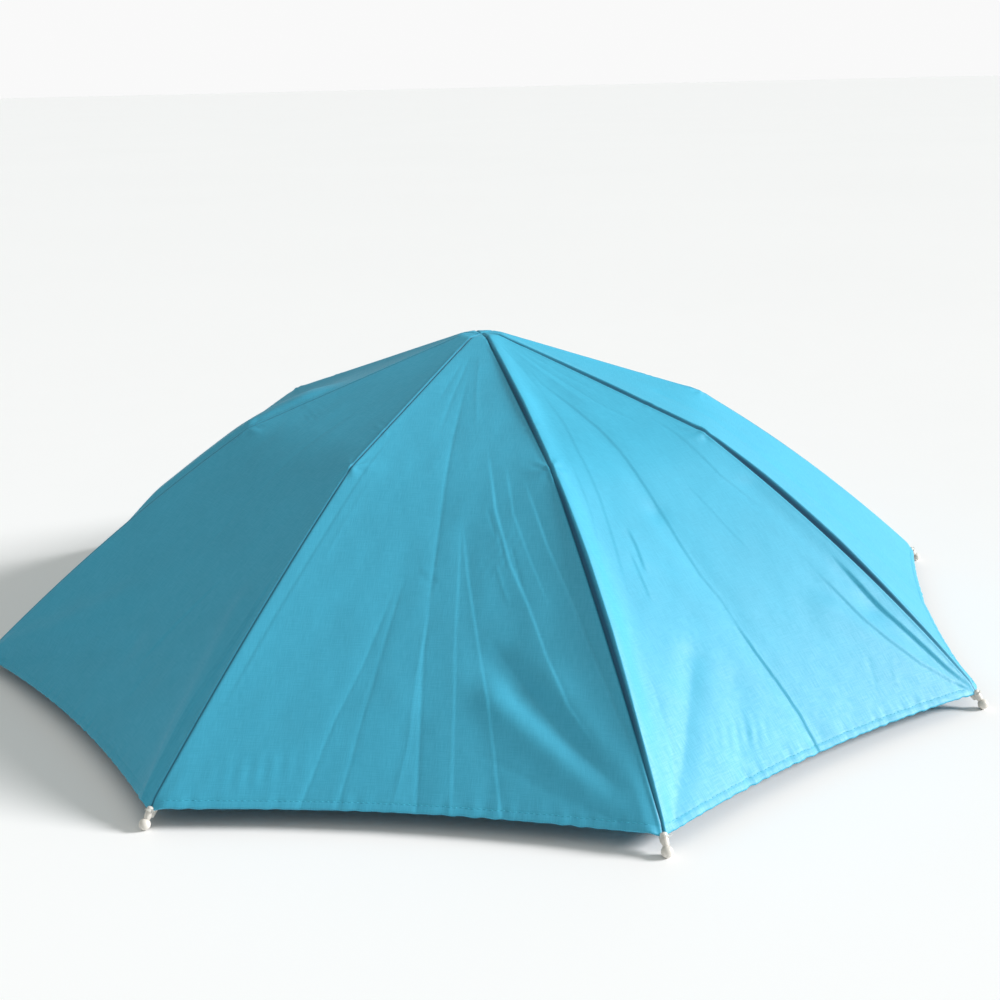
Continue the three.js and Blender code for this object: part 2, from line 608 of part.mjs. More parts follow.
// Arm from the plate's rim down to a flat tab inside the headband: a curved strip drawn in its
// own plane, with X outwards and Z up
function armGeometry(bandReach, bandCurvature) {
  const sagitta = ARM_WIDTH ** 2 / 8 / bandCurvature;
  const startX = CROWN_PLATE_RADIUS + GAP;
  const facetSagitta = bandReach * (1 - Math.cos(Math.PI / BAND_SIDES));
  const endX = bandReach - BAND_THICKNESS - GAP - sagitta - facetSagitta;
  const startZ = PLATE_TOP;
  const tabBottom = CROWN_Z - BAND_DROP - ARM_TAB / 2;
  const endZ = tabBottom + ARM_TAB;
  const curve = (reach, height) => new THREE.EllipseCurve(startX, endZ, reach, height, Math.PI / 2, 0, true);
  const outside = curve(endX - startX, startZ - endZ).getPoints(10);
  const inside = curve(endX - startX - ARM_THICKNESS, startZ - endZ - ARM_THICKNESS).getPoints(10);
  const outline = new THREE.Shape([
    ...outside,
    new THREE.Vector2(endX, tabBottom),
    new THREE.Vector2(endX - ARM_THICKNESS, tabBottom),
    ...inside.reverse(),
  ]);
  const arm = new THREE.ExtrudeGeometry(outline, { depth: ARM_WIDTH, bevelEnabled: false });
  arm.translate(0, 0, -ARM_WIDTH / 2);
  arm.rotateX(Math.PI / 2);
  return arm;
}

function headbandGeometry() {
  const outline = new THREE.Shape();
  outline.absellipse(0, 0, BAND_HALF_WIDTH, BAND_HALF_LENGTH, 0, 2 * Math.PI, false);
  const opening = new THREE.Path();
  const [width, length] = [BAND_HALF_WIDTH - BAND_THICKNESS, BAND_HALF_LENGTH - BAND_THICKNESS];
  opening.absellipse(0, 0, width, length, 0, 2 * Math.PI, true);
  outline.holes.push(opening);
  const band = new THREE.ExtrudeGeometry(outline, {
    depth: BAND_HEIGHT,
    curveSegments: BAND_SIDES / 2,
    bevelEnabled: false,
  });
  band.translate(0, 0, CROWN_Z - BAND_DROP - BAND_HEIGHT / 2);
  return band;
}

const hat = new THREE.Group();

function add(name, geometry, material, place = (mesh) => mesh) {
  const mesh = new THREE.Mesh(geometry, material.clone());
  mesh.name = name;
  place(mesh);
  hat.add(mesh);
}

for (let rib = 1; rib <= RIB_COUNT; rib += 1) {
  const bearing = ribBearing(rib, 0);
  add(`gore_${rib}`, goreGeometry(rib), CLOTH_BLUE);
  add(`inner_rib_${rib}`, innerRibGeometry(), STEEL, (mesh) => {
    mesh.rotation.set(0, INNER_SLOPE, bearing, 'ZYX');
    mesh.position.set(CROWN_FLAT_RADIUS * Math.cos(bearing), CROWN_FLAT_RADIUS * Math.sin(bearing), CROWN_Z);
  });
  add(`outer_rib_${rib}`, outerRibGeometry(rib), STEEL);
  add(`stretcher_${rib}`, stretcherGeometry(), STEEL, (mesh) => {
    mesh.rotation.z = bearing;
  });
  add(`rib_tip_${rib}`, tipGeometry(), WHITE_PLASTIC, (mesh) => {
    mesh.quaternion.setFromUnitVectors(new THREE.Vector3(0, 0, 1), tipDirection(rib));
    mesh.position.copy(ribPoint(rib, RIB_LENGTH, TIP_DEPTH));
  });
}

add('crown_hub', hubGeometry(), BLACK_PLASTIC);
add('shaft', shaftGeometry(), STEEL);
add('runner', runnerGeometry(), BLACK_PLASTIC);
add('crown_plate', crownPlateGeometry(), BLACK_PLASTIC);
const armEnds = [
  { reach: BAND_HALF_WIDTH, curvature: BAND_HALF_LENGTH ** 2 / BAND_HALF_WIDTH },
  { reach: BAND_HALF_LENGTH, curvature: BAND_HALF_WIDTH ** 2 / BAND_HALF_LENGTH },
];
for (let arm = 0; arm < 4; arm += 1) {
  const { reach, curvature } = armEnds[arm % 2];
  add(`crown_arm_${arm + 1}`, armGeometry(reach, curvature), BLACK_PLASTIC, (mesh) => {
    mesh.rotation.z = arm * Math.PI / 2;
  });
}
add('headband', headbandGeometry(), BAND_CLOTH);

export default hat;
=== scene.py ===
# %% [markdown]
# # An umbrella hat, worn on the head by a band
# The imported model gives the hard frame: ribs, stretchers, hub, runner, plate and arms. This lesson
# dresses it. The cloth is made again as fine sheets with their folds, hems and stitches, the band
# is padded, the ball tips are rounded, and every piece gets a finish made of nodes.

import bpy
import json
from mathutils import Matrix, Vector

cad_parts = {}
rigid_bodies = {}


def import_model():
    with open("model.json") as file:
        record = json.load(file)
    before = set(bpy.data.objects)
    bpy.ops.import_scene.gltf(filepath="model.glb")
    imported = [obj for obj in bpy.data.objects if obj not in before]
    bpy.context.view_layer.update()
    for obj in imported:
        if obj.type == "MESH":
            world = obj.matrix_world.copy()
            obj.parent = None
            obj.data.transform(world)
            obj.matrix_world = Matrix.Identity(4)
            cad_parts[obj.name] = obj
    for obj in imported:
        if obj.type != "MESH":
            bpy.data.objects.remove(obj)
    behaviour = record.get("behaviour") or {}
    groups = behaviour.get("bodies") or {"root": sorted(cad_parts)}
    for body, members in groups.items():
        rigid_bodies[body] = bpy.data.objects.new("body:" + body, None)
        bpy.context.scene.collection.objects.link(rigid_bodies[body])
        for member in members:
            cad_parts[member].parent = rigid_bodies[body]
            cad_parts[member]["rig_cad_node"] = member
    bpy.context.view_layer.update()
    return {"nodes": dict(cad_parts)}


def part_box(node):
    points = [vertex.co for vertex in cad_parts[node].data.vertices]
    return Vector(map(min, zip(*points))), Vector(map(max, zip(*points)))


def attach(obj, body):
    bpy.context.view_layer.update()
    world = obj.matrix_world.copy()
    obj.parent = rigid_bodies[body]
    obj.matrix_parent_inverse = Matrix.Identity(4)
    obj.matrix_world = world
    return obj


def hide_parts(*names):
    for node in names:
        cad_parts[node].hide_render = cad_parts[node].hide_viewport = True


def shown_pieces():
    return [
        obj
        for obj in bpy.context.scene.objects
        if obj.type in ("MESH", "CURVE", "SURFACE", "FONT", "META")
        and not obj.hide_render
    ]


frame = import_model()
print("nodes in the packed model:", len(frame["nodes"]))

# %% [markdown]
# ## Units and small helpers
# Sizes are written in millimetres, as on the part's own drawing, and become metres when a mesh is
# made. A smooth step eases one level into another, and a bell is a bump with a given reach.

# %% Units
import json
import math

import bpy
import numpy as np
from mathutils import Quaternion, Vector

MM = 0.001


def smooth(t):
    t = np.clip(t, 0.0, 1.0)
    return t * t * (3.0 - 2.0 * t)


def bell(away, reach):
    return np.exp(-((away / reach) ** 2))


crown_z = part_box("gore_1")[1][2] / MM
print("crown of the cloth stands", round(crown_z, 2), "mm above the floor")

# %% [markdown]
# ## The camera
# The photograph was taken from a little above the hat, about 94 cm away, with rib 1 slightly
# right of the middle. The place, the lens and the slight roll come from fitting the eight ribs
# of the model to those in the photograph. The fit was made for a crown 5 mm higher, and is kept.

# %% Camera
CAMERA_AZIMUTH = math.radians(-14.71)
CAMERA_ELEVATION = math.radians(16.94)
CAMERA_ROLL = math.radians(-1.235)
CAMERA_DISTANCE = 0.9384
LOOK_BELOW_CROWN = 114.0
LOOK_RIGHT = 0.0098
LENS, SENSOR_WIDTH = 49.8, 36.0


def direction(bearing, elevation):
    level = math.cos(elevation)
    return Vector((math.cos(bearing) * level, math.sin(bearing) * level, math.sin(elevation)))


def aim(thing, backwards, roll=0.0):
    thing.rotation_mode = "QUATERNION"
    thing.rotation_quaternion = backwards.to_track_quat("Z", "Y") @ Quaternion((0, 0, 1), roll)
    bpy.context.scene.collection.objects.link(thing)


towards_camera = direction(CAMERA_AZIMUTH - math.pi / 2, CAMERA_ELEVATION)
look_at = Vector((0, 0, (crown_z - LOOK_BELOW_CROWN) * MM))
look_at += LOOK_RIGHT * Vector((math.cos(CAMERA_AZIMUTH), math.sin(CAMERA_AZIMUTH), 0))

camera = bpy.data.objects.new("photo_camera", bpy.data.cameras.new("photo_camera"))
camera.data.lens, camera.data.sensor_width = LENS, SENSOR_WIDTH
camera.location = look_at + CAMERA_DISTANCE * towards_camera
aim(camera, towards_camera, CAMERA_ROLL)
bpy.context.scene.camera = camera
print("camera at", [round(c, 3) for c in camera.location])

# %% [markdown]
# ## Light, floor and background
# One broad key light stands on the camera's right, so the panels on that side are bright and
# those on the left fall into teal shade. A sun lamp with a wide angle does this and lights the
# floor evenly as far as it can be seen. The sky is brightest overhead and dim at its sides, so
# that steep folds stay dark, and it is white at the horizon, where the floor ends in it.

# %% Key light
KEY_BEARING = math.radians(-13)
KEY_ELEVATION = math.radians(24)
KEY_POWER, KEY_WIDTH = 4.4, math.radians(16)

key = bpy.data.objects.new("key_light", bpy.data.lights.new("key_light", "SUN"))
key.data.energy, key.data.angle = KEY_POWER, KEY_WIDTH
key.data.color = (1.0, 0.99, 1.0)
to_key = direction(KEY_BEARING, KEY_ELEVATION)
aim(key, to_key)
bpy.context.scene.view_settings.view_transform = "Standard"
print("key light from", [round(c, 2) for c in to_key])

# %% Sky
world = bpy.data.worlds.new("studio_sky")
bpy.context.scene.world = world
world.use_nodes = True
sky = world.node_tree
sky.nodes.clear()
sky_place = sky.nodes.new("ShaderNodeTexCoord")
sky_split = sky.nodes.new("ShaderNodeSeparateXYZ")
sky_ramp = sky.nodes.new("ShaderNodeValToRGB")
sky_light = sky.nodes.new("ShaderNodeBackground")
sky_out = sky.nodes.new("ShaderNodeOutputWorld")
sky_stops = [
    (0.07, (0.95, 0.95, 0.95, 1)), (0.12, (0.20, 0.21, 0.20, 1)),
    (0.45, (0.30, 0.32, 0.31, 1)), (1.0, (0.66, 0.68, 0.66, 1)),
]
for _ in range(2):
    sky_ramp.color_ramp.elements.new(0.5)
for element, (height, colour) in zip(sky_ramp.color_ramp.elements, sky_stops):
    element.position, element.color = height, colour
sky.links.new(sky_place.outputs["Generated"], sky_split.inputs[0])
sky.links.new(sky_split.outputs["Z"], sky_ramp.inputs[0])
sky.links.new(sky_ramp.outputs["Color"], sky_light.inputs["Color"])
sky.links.new(sky_light.outputs[0], sky_out.inputs["Surface"])
print("sky ramp points:", [round(e.position, 2) for e in sky_ramp.color_ramp.elements])

# %% [markdown]
# ## Finishes: helpers
# A finish is a material made of nodes. Effects that several finishes share are node groups: each
# is built once, has named inputs and outputs, and is placed in a material with its own values.
# The shader itself always stays in the material.

# %% Helpers for nodes
GREY = (0.5, 0.5, 0.5, 1)


def new_group(name, inputs, outputs):
    """A node group. Among the inputs, None makes a vector socket and four numbers a colour."""
    group = bpy.data.node_groups.new(name, "ShaderNodeTree")
    for label, value in inputs.items():
        kind = "Vector" if value is None else "Color" if isinstance(value, tuple) else "Float"
        socket = group.interface.new_socket(
            name=label, in_out="INPUT", socket_type="NodeSocket" + kind)
        if value is not None:
            socket.default_value = value
    for label in outputs:
        kind = "NodeSocketColor" if label == "Color" else "NodeSocketFloat"
        group.interface.new_socket(name=label, in_out="OUTPUT", socket_type=kind)
    return group, group.nodes.new("NodeGroupInput"), group.nodes.new("NodeGroupOutput")


def put(tree, socket, value):
    if isinstance(value, bpy.types.NodeSocket):
        tree.links.new(value, socket)
    else:
        socket.default_value = value


def calc(tree, operation, *values):
    node = tree.nodes.new("ShaderNodeMath")
    node.operation = operation
    for socket, value in zip(node.inputs, values):
        put(tree, socket, value)
    return node.outputs[0]


def scaled(tree, vector, factors):
    node = tree.nodes.new("ShaderNodeVectorMath")
    node.operation = "MULTIPLY"
    put(tree, node.inputs[0], vector)
    put(tree, node.inputs[1], factors)
    return node.outputs[0]


def noise(tree, vector, scale, detail=2.0, roughness=0.5):
    node = tree.nodes.new("ShaderNodeTexNoise")
    put(tree, node.inputs["Vector"], vector)
    put(tree, node.inputs["Scale"], scale)
    node.inputs["Detail"].default_value = detail
    node.inputs["Roughness"].default_value = roughness
    return node.outputs["Fac"]


def varied(tree, value, amount, middle):
    return calc(tree, "MULTIPLY_ADD", calc(tree, "SUBTRACT", value, 0.5), amount, middle)


def spread(tree, value, low, high, to_low=0.0, to_high=1.0):
    node = tree.nodes.new("ShaderNodeMapRange")
    node.interpolation_type = "SMOOTHSTEP"
    labels = ("Value", "From Min", "From Max", "To Min", "To Max")
    for label, amount in zip(labels, (value, low, high, to_low, to_high)):
        put(tree, node.inputs[label], amount)
    return node.outputs["Result"]


def blended(tree, share, first, second, mode="MIX"):
    node = tree.nodes.new("ShaderNodeMix")
    node.data_type = "RGBA"
    node.blend_type = mode
    put(tree, node.inputs["Factor"], share)
    put(tree, node.inputs[6], first)
    put(tree, node.inputs[7], second)
    return node.outputs[2]


def use_group(tree, group, **values):
    node = tree.nodes.new("ShaderNodeGroup")
    node.node_tree = group
    for label, value in values.items():
        put(tree, node.inputs[label.replace("_", " ")], value)
    return node


def new_material(name, **shader_values):
    material = bpy.data.materials.new(name)
    material.use_nodes = True
    tree = material.node_tree
    tree.nodes.clear()
    shader = tree.nodes.new("ShaderNodeBsdfPrincipled")
    output = tree.nodes.new("ShaderNodeOutputMaterial")
    tree.links.new(shader.outputs[0], output.inputs["Surface"])
    for label, value in shader_values.items():
        shader.inputs[label.replace("_", " ")].default_value = value
    return material, tree, shader


def connect(tree, shader, colour, roughness, height=None, distance=None):
    """Colour and roughness go to the shader, and a height goes there as a bump."""
    put(tree, shader.inputs["Base Color"], colour)
    put(tree, shader.inputs["Roughness"], roughness)
    if height is not None:
        node = tree.nodes.new("ShaderNodeBump")
        node.inputs["Distance"].default_value = distance
        node.inputs["Strength"].default_value = 1.0
        put(tree, node.inputs["Height"], height)
        tree.links.new(node.outputs[0], shader.inputs["Normal"])


print("helpers for nodes are ready")

# %% [markdown]
# ## Group: woven threads
# Satin shows no single threads from a metre away, but slubs: thicker stretches of thread that run
# along and across the cloth as fine short streaks. Two noises do this, each stretched along one
# thread direction. They read the cloth's own flat coordinates, so the weave turns with each panel.

# %% Woven threads
woven, woven_in, woven_out = new_group(
    "woven_threads", {"Flat Place": None, "Thread": 0.7, "Slub": 14.0}, ["Height", "Tone"]
)
flat_mm = scaled(woven, woven_in.outputs["Flat Place"], (1 / MM, 1 / MM, 1 / MM))
per_thread = calc(woven, "DIVIDE", 1.0, woven_in.outputs["Thread"])
per_slub = calc(woven, "DIVIDE", 1.0, woven_in.outputs["Slub"])
streaks = []
for across_x in (True, False):
    factors = woven.nodes.new("ShaderNodeCombineXYZ")
    put(woven, factors.inputs[0 if across_x else 1], per_thread)
    put(woven, factors.inputs[1 if across_x else 0], per_slub)
    stretched = scaled(woven, flat_mm, factors.outputs[0])
    streaks.append(noise(woven, stretched, 1.0, detail=1.0))
both = calc(woven, "MULTIPLY_ADD", streaks[0], 0.55, calc(woven, "MULTIPLY", streaks[1], 0.45))
put(woven, woven_out.inputs["Height"], both)
put(woven, woven_out.inputs["Tone"], spread(woven, both, 0.36, 0.64))
print("group", woven.name, "has", len(woven.nodes), "nodes")

# %% [markdown]
# ## Group: mottle
# Dyed cloth and moulded plastic are never quite one colour. This group lightens and darkens a
# colour in soft patches of a given size.

# %% Mottle
mottle, mottle_in, mottle_out = new_group(
    "mottle", {"Place": None, "Color": GREY, "Size": 30.0, "Amount": 0.1}, ["Color"]
)
mottle_scale = calc(mottle, "DIVIDE", 1 / MM, mottle_in.outputs["Size"])
patches = noise(mottle, mottle_in.outputs["Place"], mottle_scale, detail=3.0)
lightness = varied(mottle, patches, mottle_in.outputs["Amount"], 1.0)
mottle_tint = mottle.nodes.new("ShaderNodeCombineColor")
for channel in range(3):
    put(mottle, mottle_tint.inputs[channel], lightness)
put(mottle, mottle_out.inputs["Color"], blended(
    mottle, 1.0, mottle_in.outputs["Color"], mottle_tint.outputs[0], "MULTIPLY"
))
print("group", mottle.name, "has", len(mottle.nodes), "nodes")

# %% [markdown]
# ## Group: fine grain
# Moulded plastic has a fine stipple, and foam-backed knit has a coarser one. The group gives a
# height for the bump and a roughness that varies with it.

# %% Fine grain
PATCH_SCALE = 0.06  # patches of other roughness, as a share of the grain's own scale
grain, grain_in, grain_out = new_group(
    "fine_grain", {"Place": None, "Size": 0.6, "Roughness": 0.5, "Variation": 0.1},
    ["Height", "Roughness"],
)
grain_scale = calc(grain, "DIVIDE", 1 / MM, grain_in.outputs["Size"])
stipple = noise(grain, grain_in.outputs["Place"], grain_scale)
patchy = noise(grain, grain_in.outputs["Place"], calc(grain, "MULTIPLY", grain_scale, PATCH_SCALE))
put(grain, grain_out.inputs["Height"], stipple)
put(grain, grain_out.inputs["Roughness"], varied(
    grain, patchy, grain_in.outputs["Variation"], grain_in.outputs["Roughness"]
))
print("group", grain.name, "has", len(grain.nodes), "nodes")

# %% [markdown]
# ## Group: handling wear
# Hands and folding rub steel and plastic in scattered spots and streaks. The group puts out the
# worn colour and the mask, which a material may also use for its roughness.

# %% Handling wear
wear, wear_in, wear_out = new_group(
    "handling_wear",
    {"Place": None, "Color": GREY, "Worn Color": (0.7, 0.7, 0.7, 1), "Size": 6.0, "Amount": 0.3},
    ["Color", "Mask"],
)
wear_scale = calc(wear, "DIVIDE", 1 / MM, wear_in.outputs["Size"])
spots = noise(wear, wear_in.outputs["Place"], wear_scale, detail=5.0, roughness=0.65)
worn = calc(wear, "MULTIPLY", spread(wear, spots, 0.52, 0.72), wear_in.outputs["Amount"])
put(wear, wear_out.inputs["Mask"], worn)
put(wear, wear_out.inputs["Color"], blended(
    wear, worn, wear_in.outputs["Color"], wear_in.outputs["Worn Color"]
))
print("group", wear.name, "has", len(wear.nodes), "nodes")

# %% [markdown]
# ## Finish: blue satin
# The canopy is thin satin-weave polyester: a soft gloss, a dye that looks bright blue in the light
# and teal in the shade, slubs, and a few soft patches. The slubs change the colour a little and
# give the bump. Painted shade, read from an attribute of the mesh, darkens the colour in the seams'
# folds and on the crests' inner walls. The cloth carries its flat coordinates as a UV map, in metres.

# %% Blue satin
SATIN_BLUE = (0.042, 0.425, 0.625, 1)
SATIN_DEEP = (0.031, 0.385, 0.575, 1)
# painted shade: the colour taken deep in a seam's fold and on a crest's inner wall, where shade falls
SATIN_PAINTED_SHADE = (0.004, 0.10, 0.19, 1)


def satin_material(name):
    material, tree, shader = new_material(name, Roughness=0.55, Specular_IOR_Level=0.7)
    flat = tree.nodes.new("ShaderNodeUVMap")
    flat.uv_map = "cloth_flat"
    # this attribute holds painted shade for the seams' folds and the crests' inner walls
    in_seam = tree.nodes.new("ShaderNodeAttribute")
    in_seam.attribute_name = "painted_seam_shade"
    threads = use_group(tree, woven, Flat_Place=flat.outputs[0], Thread=0.5, Slub=9.0)
    dyed = blended(tree, threads.outputs["Tone"], SATIN_DEEP, SATIN_BLUE)
    patchy_dye = use_group(tree, mottle, Place=flat.outputs[0], Color=dyed, Size=38.0, Amount=0.14)
    # painted shade: the dyed colour goes darker where the attribute marks a seam's fold or a crest's shaded
    # wall
    coloured = blended(tree, in_seam.outputs["Fac"], patchy_dye.outputs["Color"], SATIN_PAINTED_SHADE)
    gloss = spread(tree, threads.outputs["Tone"], 0.0, 1.0, 0.60, 0.52)
    connect(tree, shader, coloured, gloss, threads.outputs["Height"], 0.00006)
    return material


blue_satin = satin_material("blue_satin")
print("finish", blue_satin.name, "is ready")

# %% [markdown]
# ## Finishes: thread, band, steel and plastics
# The other finishes use the same groups with their own values. The steel is brushed along the
# ribs, which all point outwards, so its streaks read the distance from the axis.

# %% Thread and band cloth
def place_of(tree):
    return tree.nodes.new("ShaderNodeTexCoord").outputs["Object"]


def thread_material(name, colour, roughness):
    material, tree, shader = new_material(name, Roughness=roughness)
    tone = use_group(tree, mottle, Place=place_of(tree), Color=colour, Size=3.0, Amount=0.3)
    twist = use_group(
        tree, grain, Place=place_of(tree), Size=0.4, Roughness=roughness, Variation=0.2)
    connect(tree, shader, tone.outputs["Color"], twist.outputs["Roughness"],
            twist.outputs["Height"], 0.0001)
    return material


sewing_thread = thread_material("sewing_thread", (0.05, 0.47, 0.64, 1), 0.55)
white_thread = thread_material("white_thread", (0.72, 0.72, 0.68, 1), 0.6)

band_knit, tree, shader = new_material("band_knit", Roughness=0.9, Sheen_Weight=0.3, Sheen_Roughness=0.5)
flat = tree.nodes.new("ShaderNodeUVMap")
flat.uv_map = "cloth_flat"
knit = use_group(tree, woven, Flat_Place=flat.outputs[0], Thread=0.9, Slub=2.2)
loops = use_group(tree, grain, Place=place_of(tree), Size=1.1, Roughness=0.88, Variation=0.15)
knit_colour = blended(tree, knit.outputs["Tone"], (0.018, 0.019, 0.022, 1), (0.048, 0.05, 0.056, 1))
faded = use_group(tree, mottle, Place=flat.outputs[0], Color=knit_colour, Size=25.0, Amount=0.5)
connect(tree, shader, faded.outputs["Color"], loops.outputs["Roughness"],
        calc(tree, "ADD", knit.outputs["Height"], loops.outputs["Height"]), 0.0005)
print("finishes", sewing_thread.name, "and", band_knit.name, "are ready")

# %% Steel and plastics
brushed_steel, tree, shader = new_material("brushed_steel", Metallic=1.0, Roughness=0.3)
place = place_of(tree)
split = tree.nodes.new("ShaderNodeSeparateXYZ")
put(tree, split.inputs[0], place)
x, y = split.outputs[:2]
JUMP_TURN = 0.41  # turns the bearing by 22 degrees, so that its jump lies between two ribs
reach = calc(tree, "SQRT", calc(
    tree, "ADD", calc(tree, "POWER", x, 2.0), calc(tree, "POWER", y, 2.0)
))
bearing = calc(
    tree, "ARCTAN2", calc(tree, "SUBTRACT", y, calc(tree, "MULTIPLY", x, JUMP_TURN)),
    calc(tree, "ADD", x, calc(tree, "MULTIPLY", y, JUMP_TURN)),
)
along = tree.nodes.new("ShaderNodeCombineXYZ")
put(tree, along.inputs[0], calc(tree, "MULTIPLY", reach, 0.04))
put(tree, along.inputs[1], calc(tree, "MULTIPLY", bearing, 0.3))
put(tree, along.inputs[2], split.outputs[2])
brushing = noise(tree, along.outputs[0], 1600.0, detail=3.0)
rubbed = use_group(
    tree, wear, Place=place, Color=(0.56, 0.57, 0.59, 1), Worn_Color=(0.30, 0.29, 0.28, 1),
    Size=7.0, Amount=0.55,
)
dulled = calc(tree, "ADD", spread(tree, brushing, 0.3, 0.7, 0.24, 0.40),
              calc(tree, "MULTIPLY", rubbed.outputs["Mask"], 0.25))
connect(tree, shader, rubbed.outputs["Color"], dulled, brushing, 0.00006)


def plastic_material(name, colour, worn_colour, roughness, wear_amount):
    material, tree, shader = new_material(name, Roughness=roughness)
    place = place_of(tree)
    tone = use_group(tree, mottle, Place=place, Color=colour, Size=9.0, Amount=0.22)
    rubbed = use_group(tree, wear, Place=place, Color=tone.outputs["Color"], Worn_Color=worn_colour,
                       Size=4.0, Amount=wear_amount)
    stippled = use_group(tree, grain, Place=place, Size=0.5, Roughness=roughness, Variation=0.18)
    dulled = calc(tree, "ADD", stippled.outputs["Roughness"],
                  calc(tree, "MULTIPLY", rubbed.outputs["Mask"], 0.15))
    connect(tree, shader, rubbed.outputs["Color"], dulled, stippled.outputs["Height"], 0.00008)
    return material


black_plastic = plastic_material(
    "black_plastic", (0.018, 0.018, 0.020, 1), (0.07, 0.07, 0.07, 1), 0.42, 0.5)
white_plastic = plastic_material(
    "off_white_plastic", (0.74, 0.71, 0.65, 1), (0.55, 0.51, 0.45, 1), 0.32, 0.35)
print("finishes", brushed_steel.name, black_plastic.name, white_plastic.name, "are ready")

# %% [markdown]
# ## The line of the ribs
# The cloth hangs on the ribs, so its shape starts from theirs: a small flat crown, a straight
# inner section down to the hinge, and a gently bowed outer section. The numbers are those of the
# part, and the function takes whole arrays of points at once.

# %% Rib line
RIM_RADIUS, CANOPY_RISE = 330.0, 184.0
HINGE_RADIUS, HINGE_DROP = 155.5, 50.5
STRETCHER_RADIUS = 118.8
CROWN_FLAT_RADIUS, CROWN_HOLE_RADIUS = 14.0, 1.5
OUTER_RIB_TURN = math.radians(10.5)
BEND_LENGTH = 8.0  # cloth over which its slope turns at the crown's edge and at the hinge
LEAST_RADIUS = 0.15
RIB_COUNT = 8
RIB_STEP = 2 * math.pi / RIB_COUNT
RIB_LEAN = [  # degrees at the hinge and at the tip
    (-0.3, 0.1), (1.4, -0.5), (0.3, 0.0), (-0.6, 0.4), (0.5, 0.0), (-0.4, 0.3), (0.2, 0.0), (1.6, -0.4),
]

inner_run = HINGE_RADIUS - CROWN_FLAT_RADIUS
inner_slope = math.atan2(HINGE_DROP, inner_run)
inner_length = math.hypot(inner_run, HINGE_DROP)
outer_run, outer_fall = RIM_RADIUS - HINGE_RADIUS, CANOPY_RISE - HINGE_DROP
outer_slope = math.atan2(outer_fall, outer_run) - OUTER_RIB_TURN / 2
arc_radius = math.hypot(outer_run, outer_fall) / 2 / math.sin(OUTER_RIB_TURN / 2)
outer_length = arc_radius * OUTER_RIB_TURN
crown_length = CROWN_FLAT_RADIUS - CROWN_HOLE_RADIUS
hinge_at = crown_length + inner_length
stretcher_at = crown_length + (STRETCHER_RADIUS - CROWN_FLAT_RADIUS) / math.cos(inner_slope)
rib_length = hinge_at + outer_length


def rib_profile(along):
    inner = (along - crown_length) / inner_length
    turned = outer_slope + (along - hinge_at) / arc_radius
    on_crown, on_inner = along <= crown_length, along <= hinge_at
    radius = np.where(on_crown, np.maximum(CROWN_HOLE_RADIUS + along, LEAST_RADIUS), np.where(
        on_inner, CROWN_FLAT_RADIUS + inner * inner_run,
        HINGE_RADIUS + arc_radius * (np.sin(turned) - math.sin(outer_slope)),
    ))
    drop = np.where(on_crown, 0.0, np.where(
        on_inner, inner * HINGE_DROP, HINGE_DROP + arc_radius * (math.cos(outer_slope) - np.cos(turned)),
    ))
    return radius, drop, np.where(along <= hinge_at, outer_slope, turned)


def rib_bearing(rib, along):
    at_hinge, at_tip = RIB_LEAN[(rib - 1) % RIB_COUNT]
    lean = at_hinge + (at_tip - at_hinge) * np.clip((along - hinge_at) / outer_length, 0, 1)
    return -math.pi / 2 + (rib - 1) * RIB_STEP + np.radians(lean)


def eased_slope(along):
    crown = smooth((along - crown_length) / BEND_LENGTH + 0.5)
    hinge = smooth((along - hinge_at) / BEND_LENGTH + 0.5)
    return inner_slope * crown * (1 - hinge) + rib_profile(along)[2] * hinge


print("cloth length along a rib:", round(rib_length, 1), "mm, hinge at", round(hinge_at, 1), "mm")

# %% [markdown]
# ## Broad folds
# Broad ridges and valleys are straight soft lines, each with a width and a rise. They lie near
# those of the part, but the gores that the camera sees have rises of their own, taken from the
# photograph. Places are shares of a gore's width and length. Gore n lies between rib n and rib
# n + 1, and the camera looks at gore 8, with gore 1 to its right and gore 7 to its left.

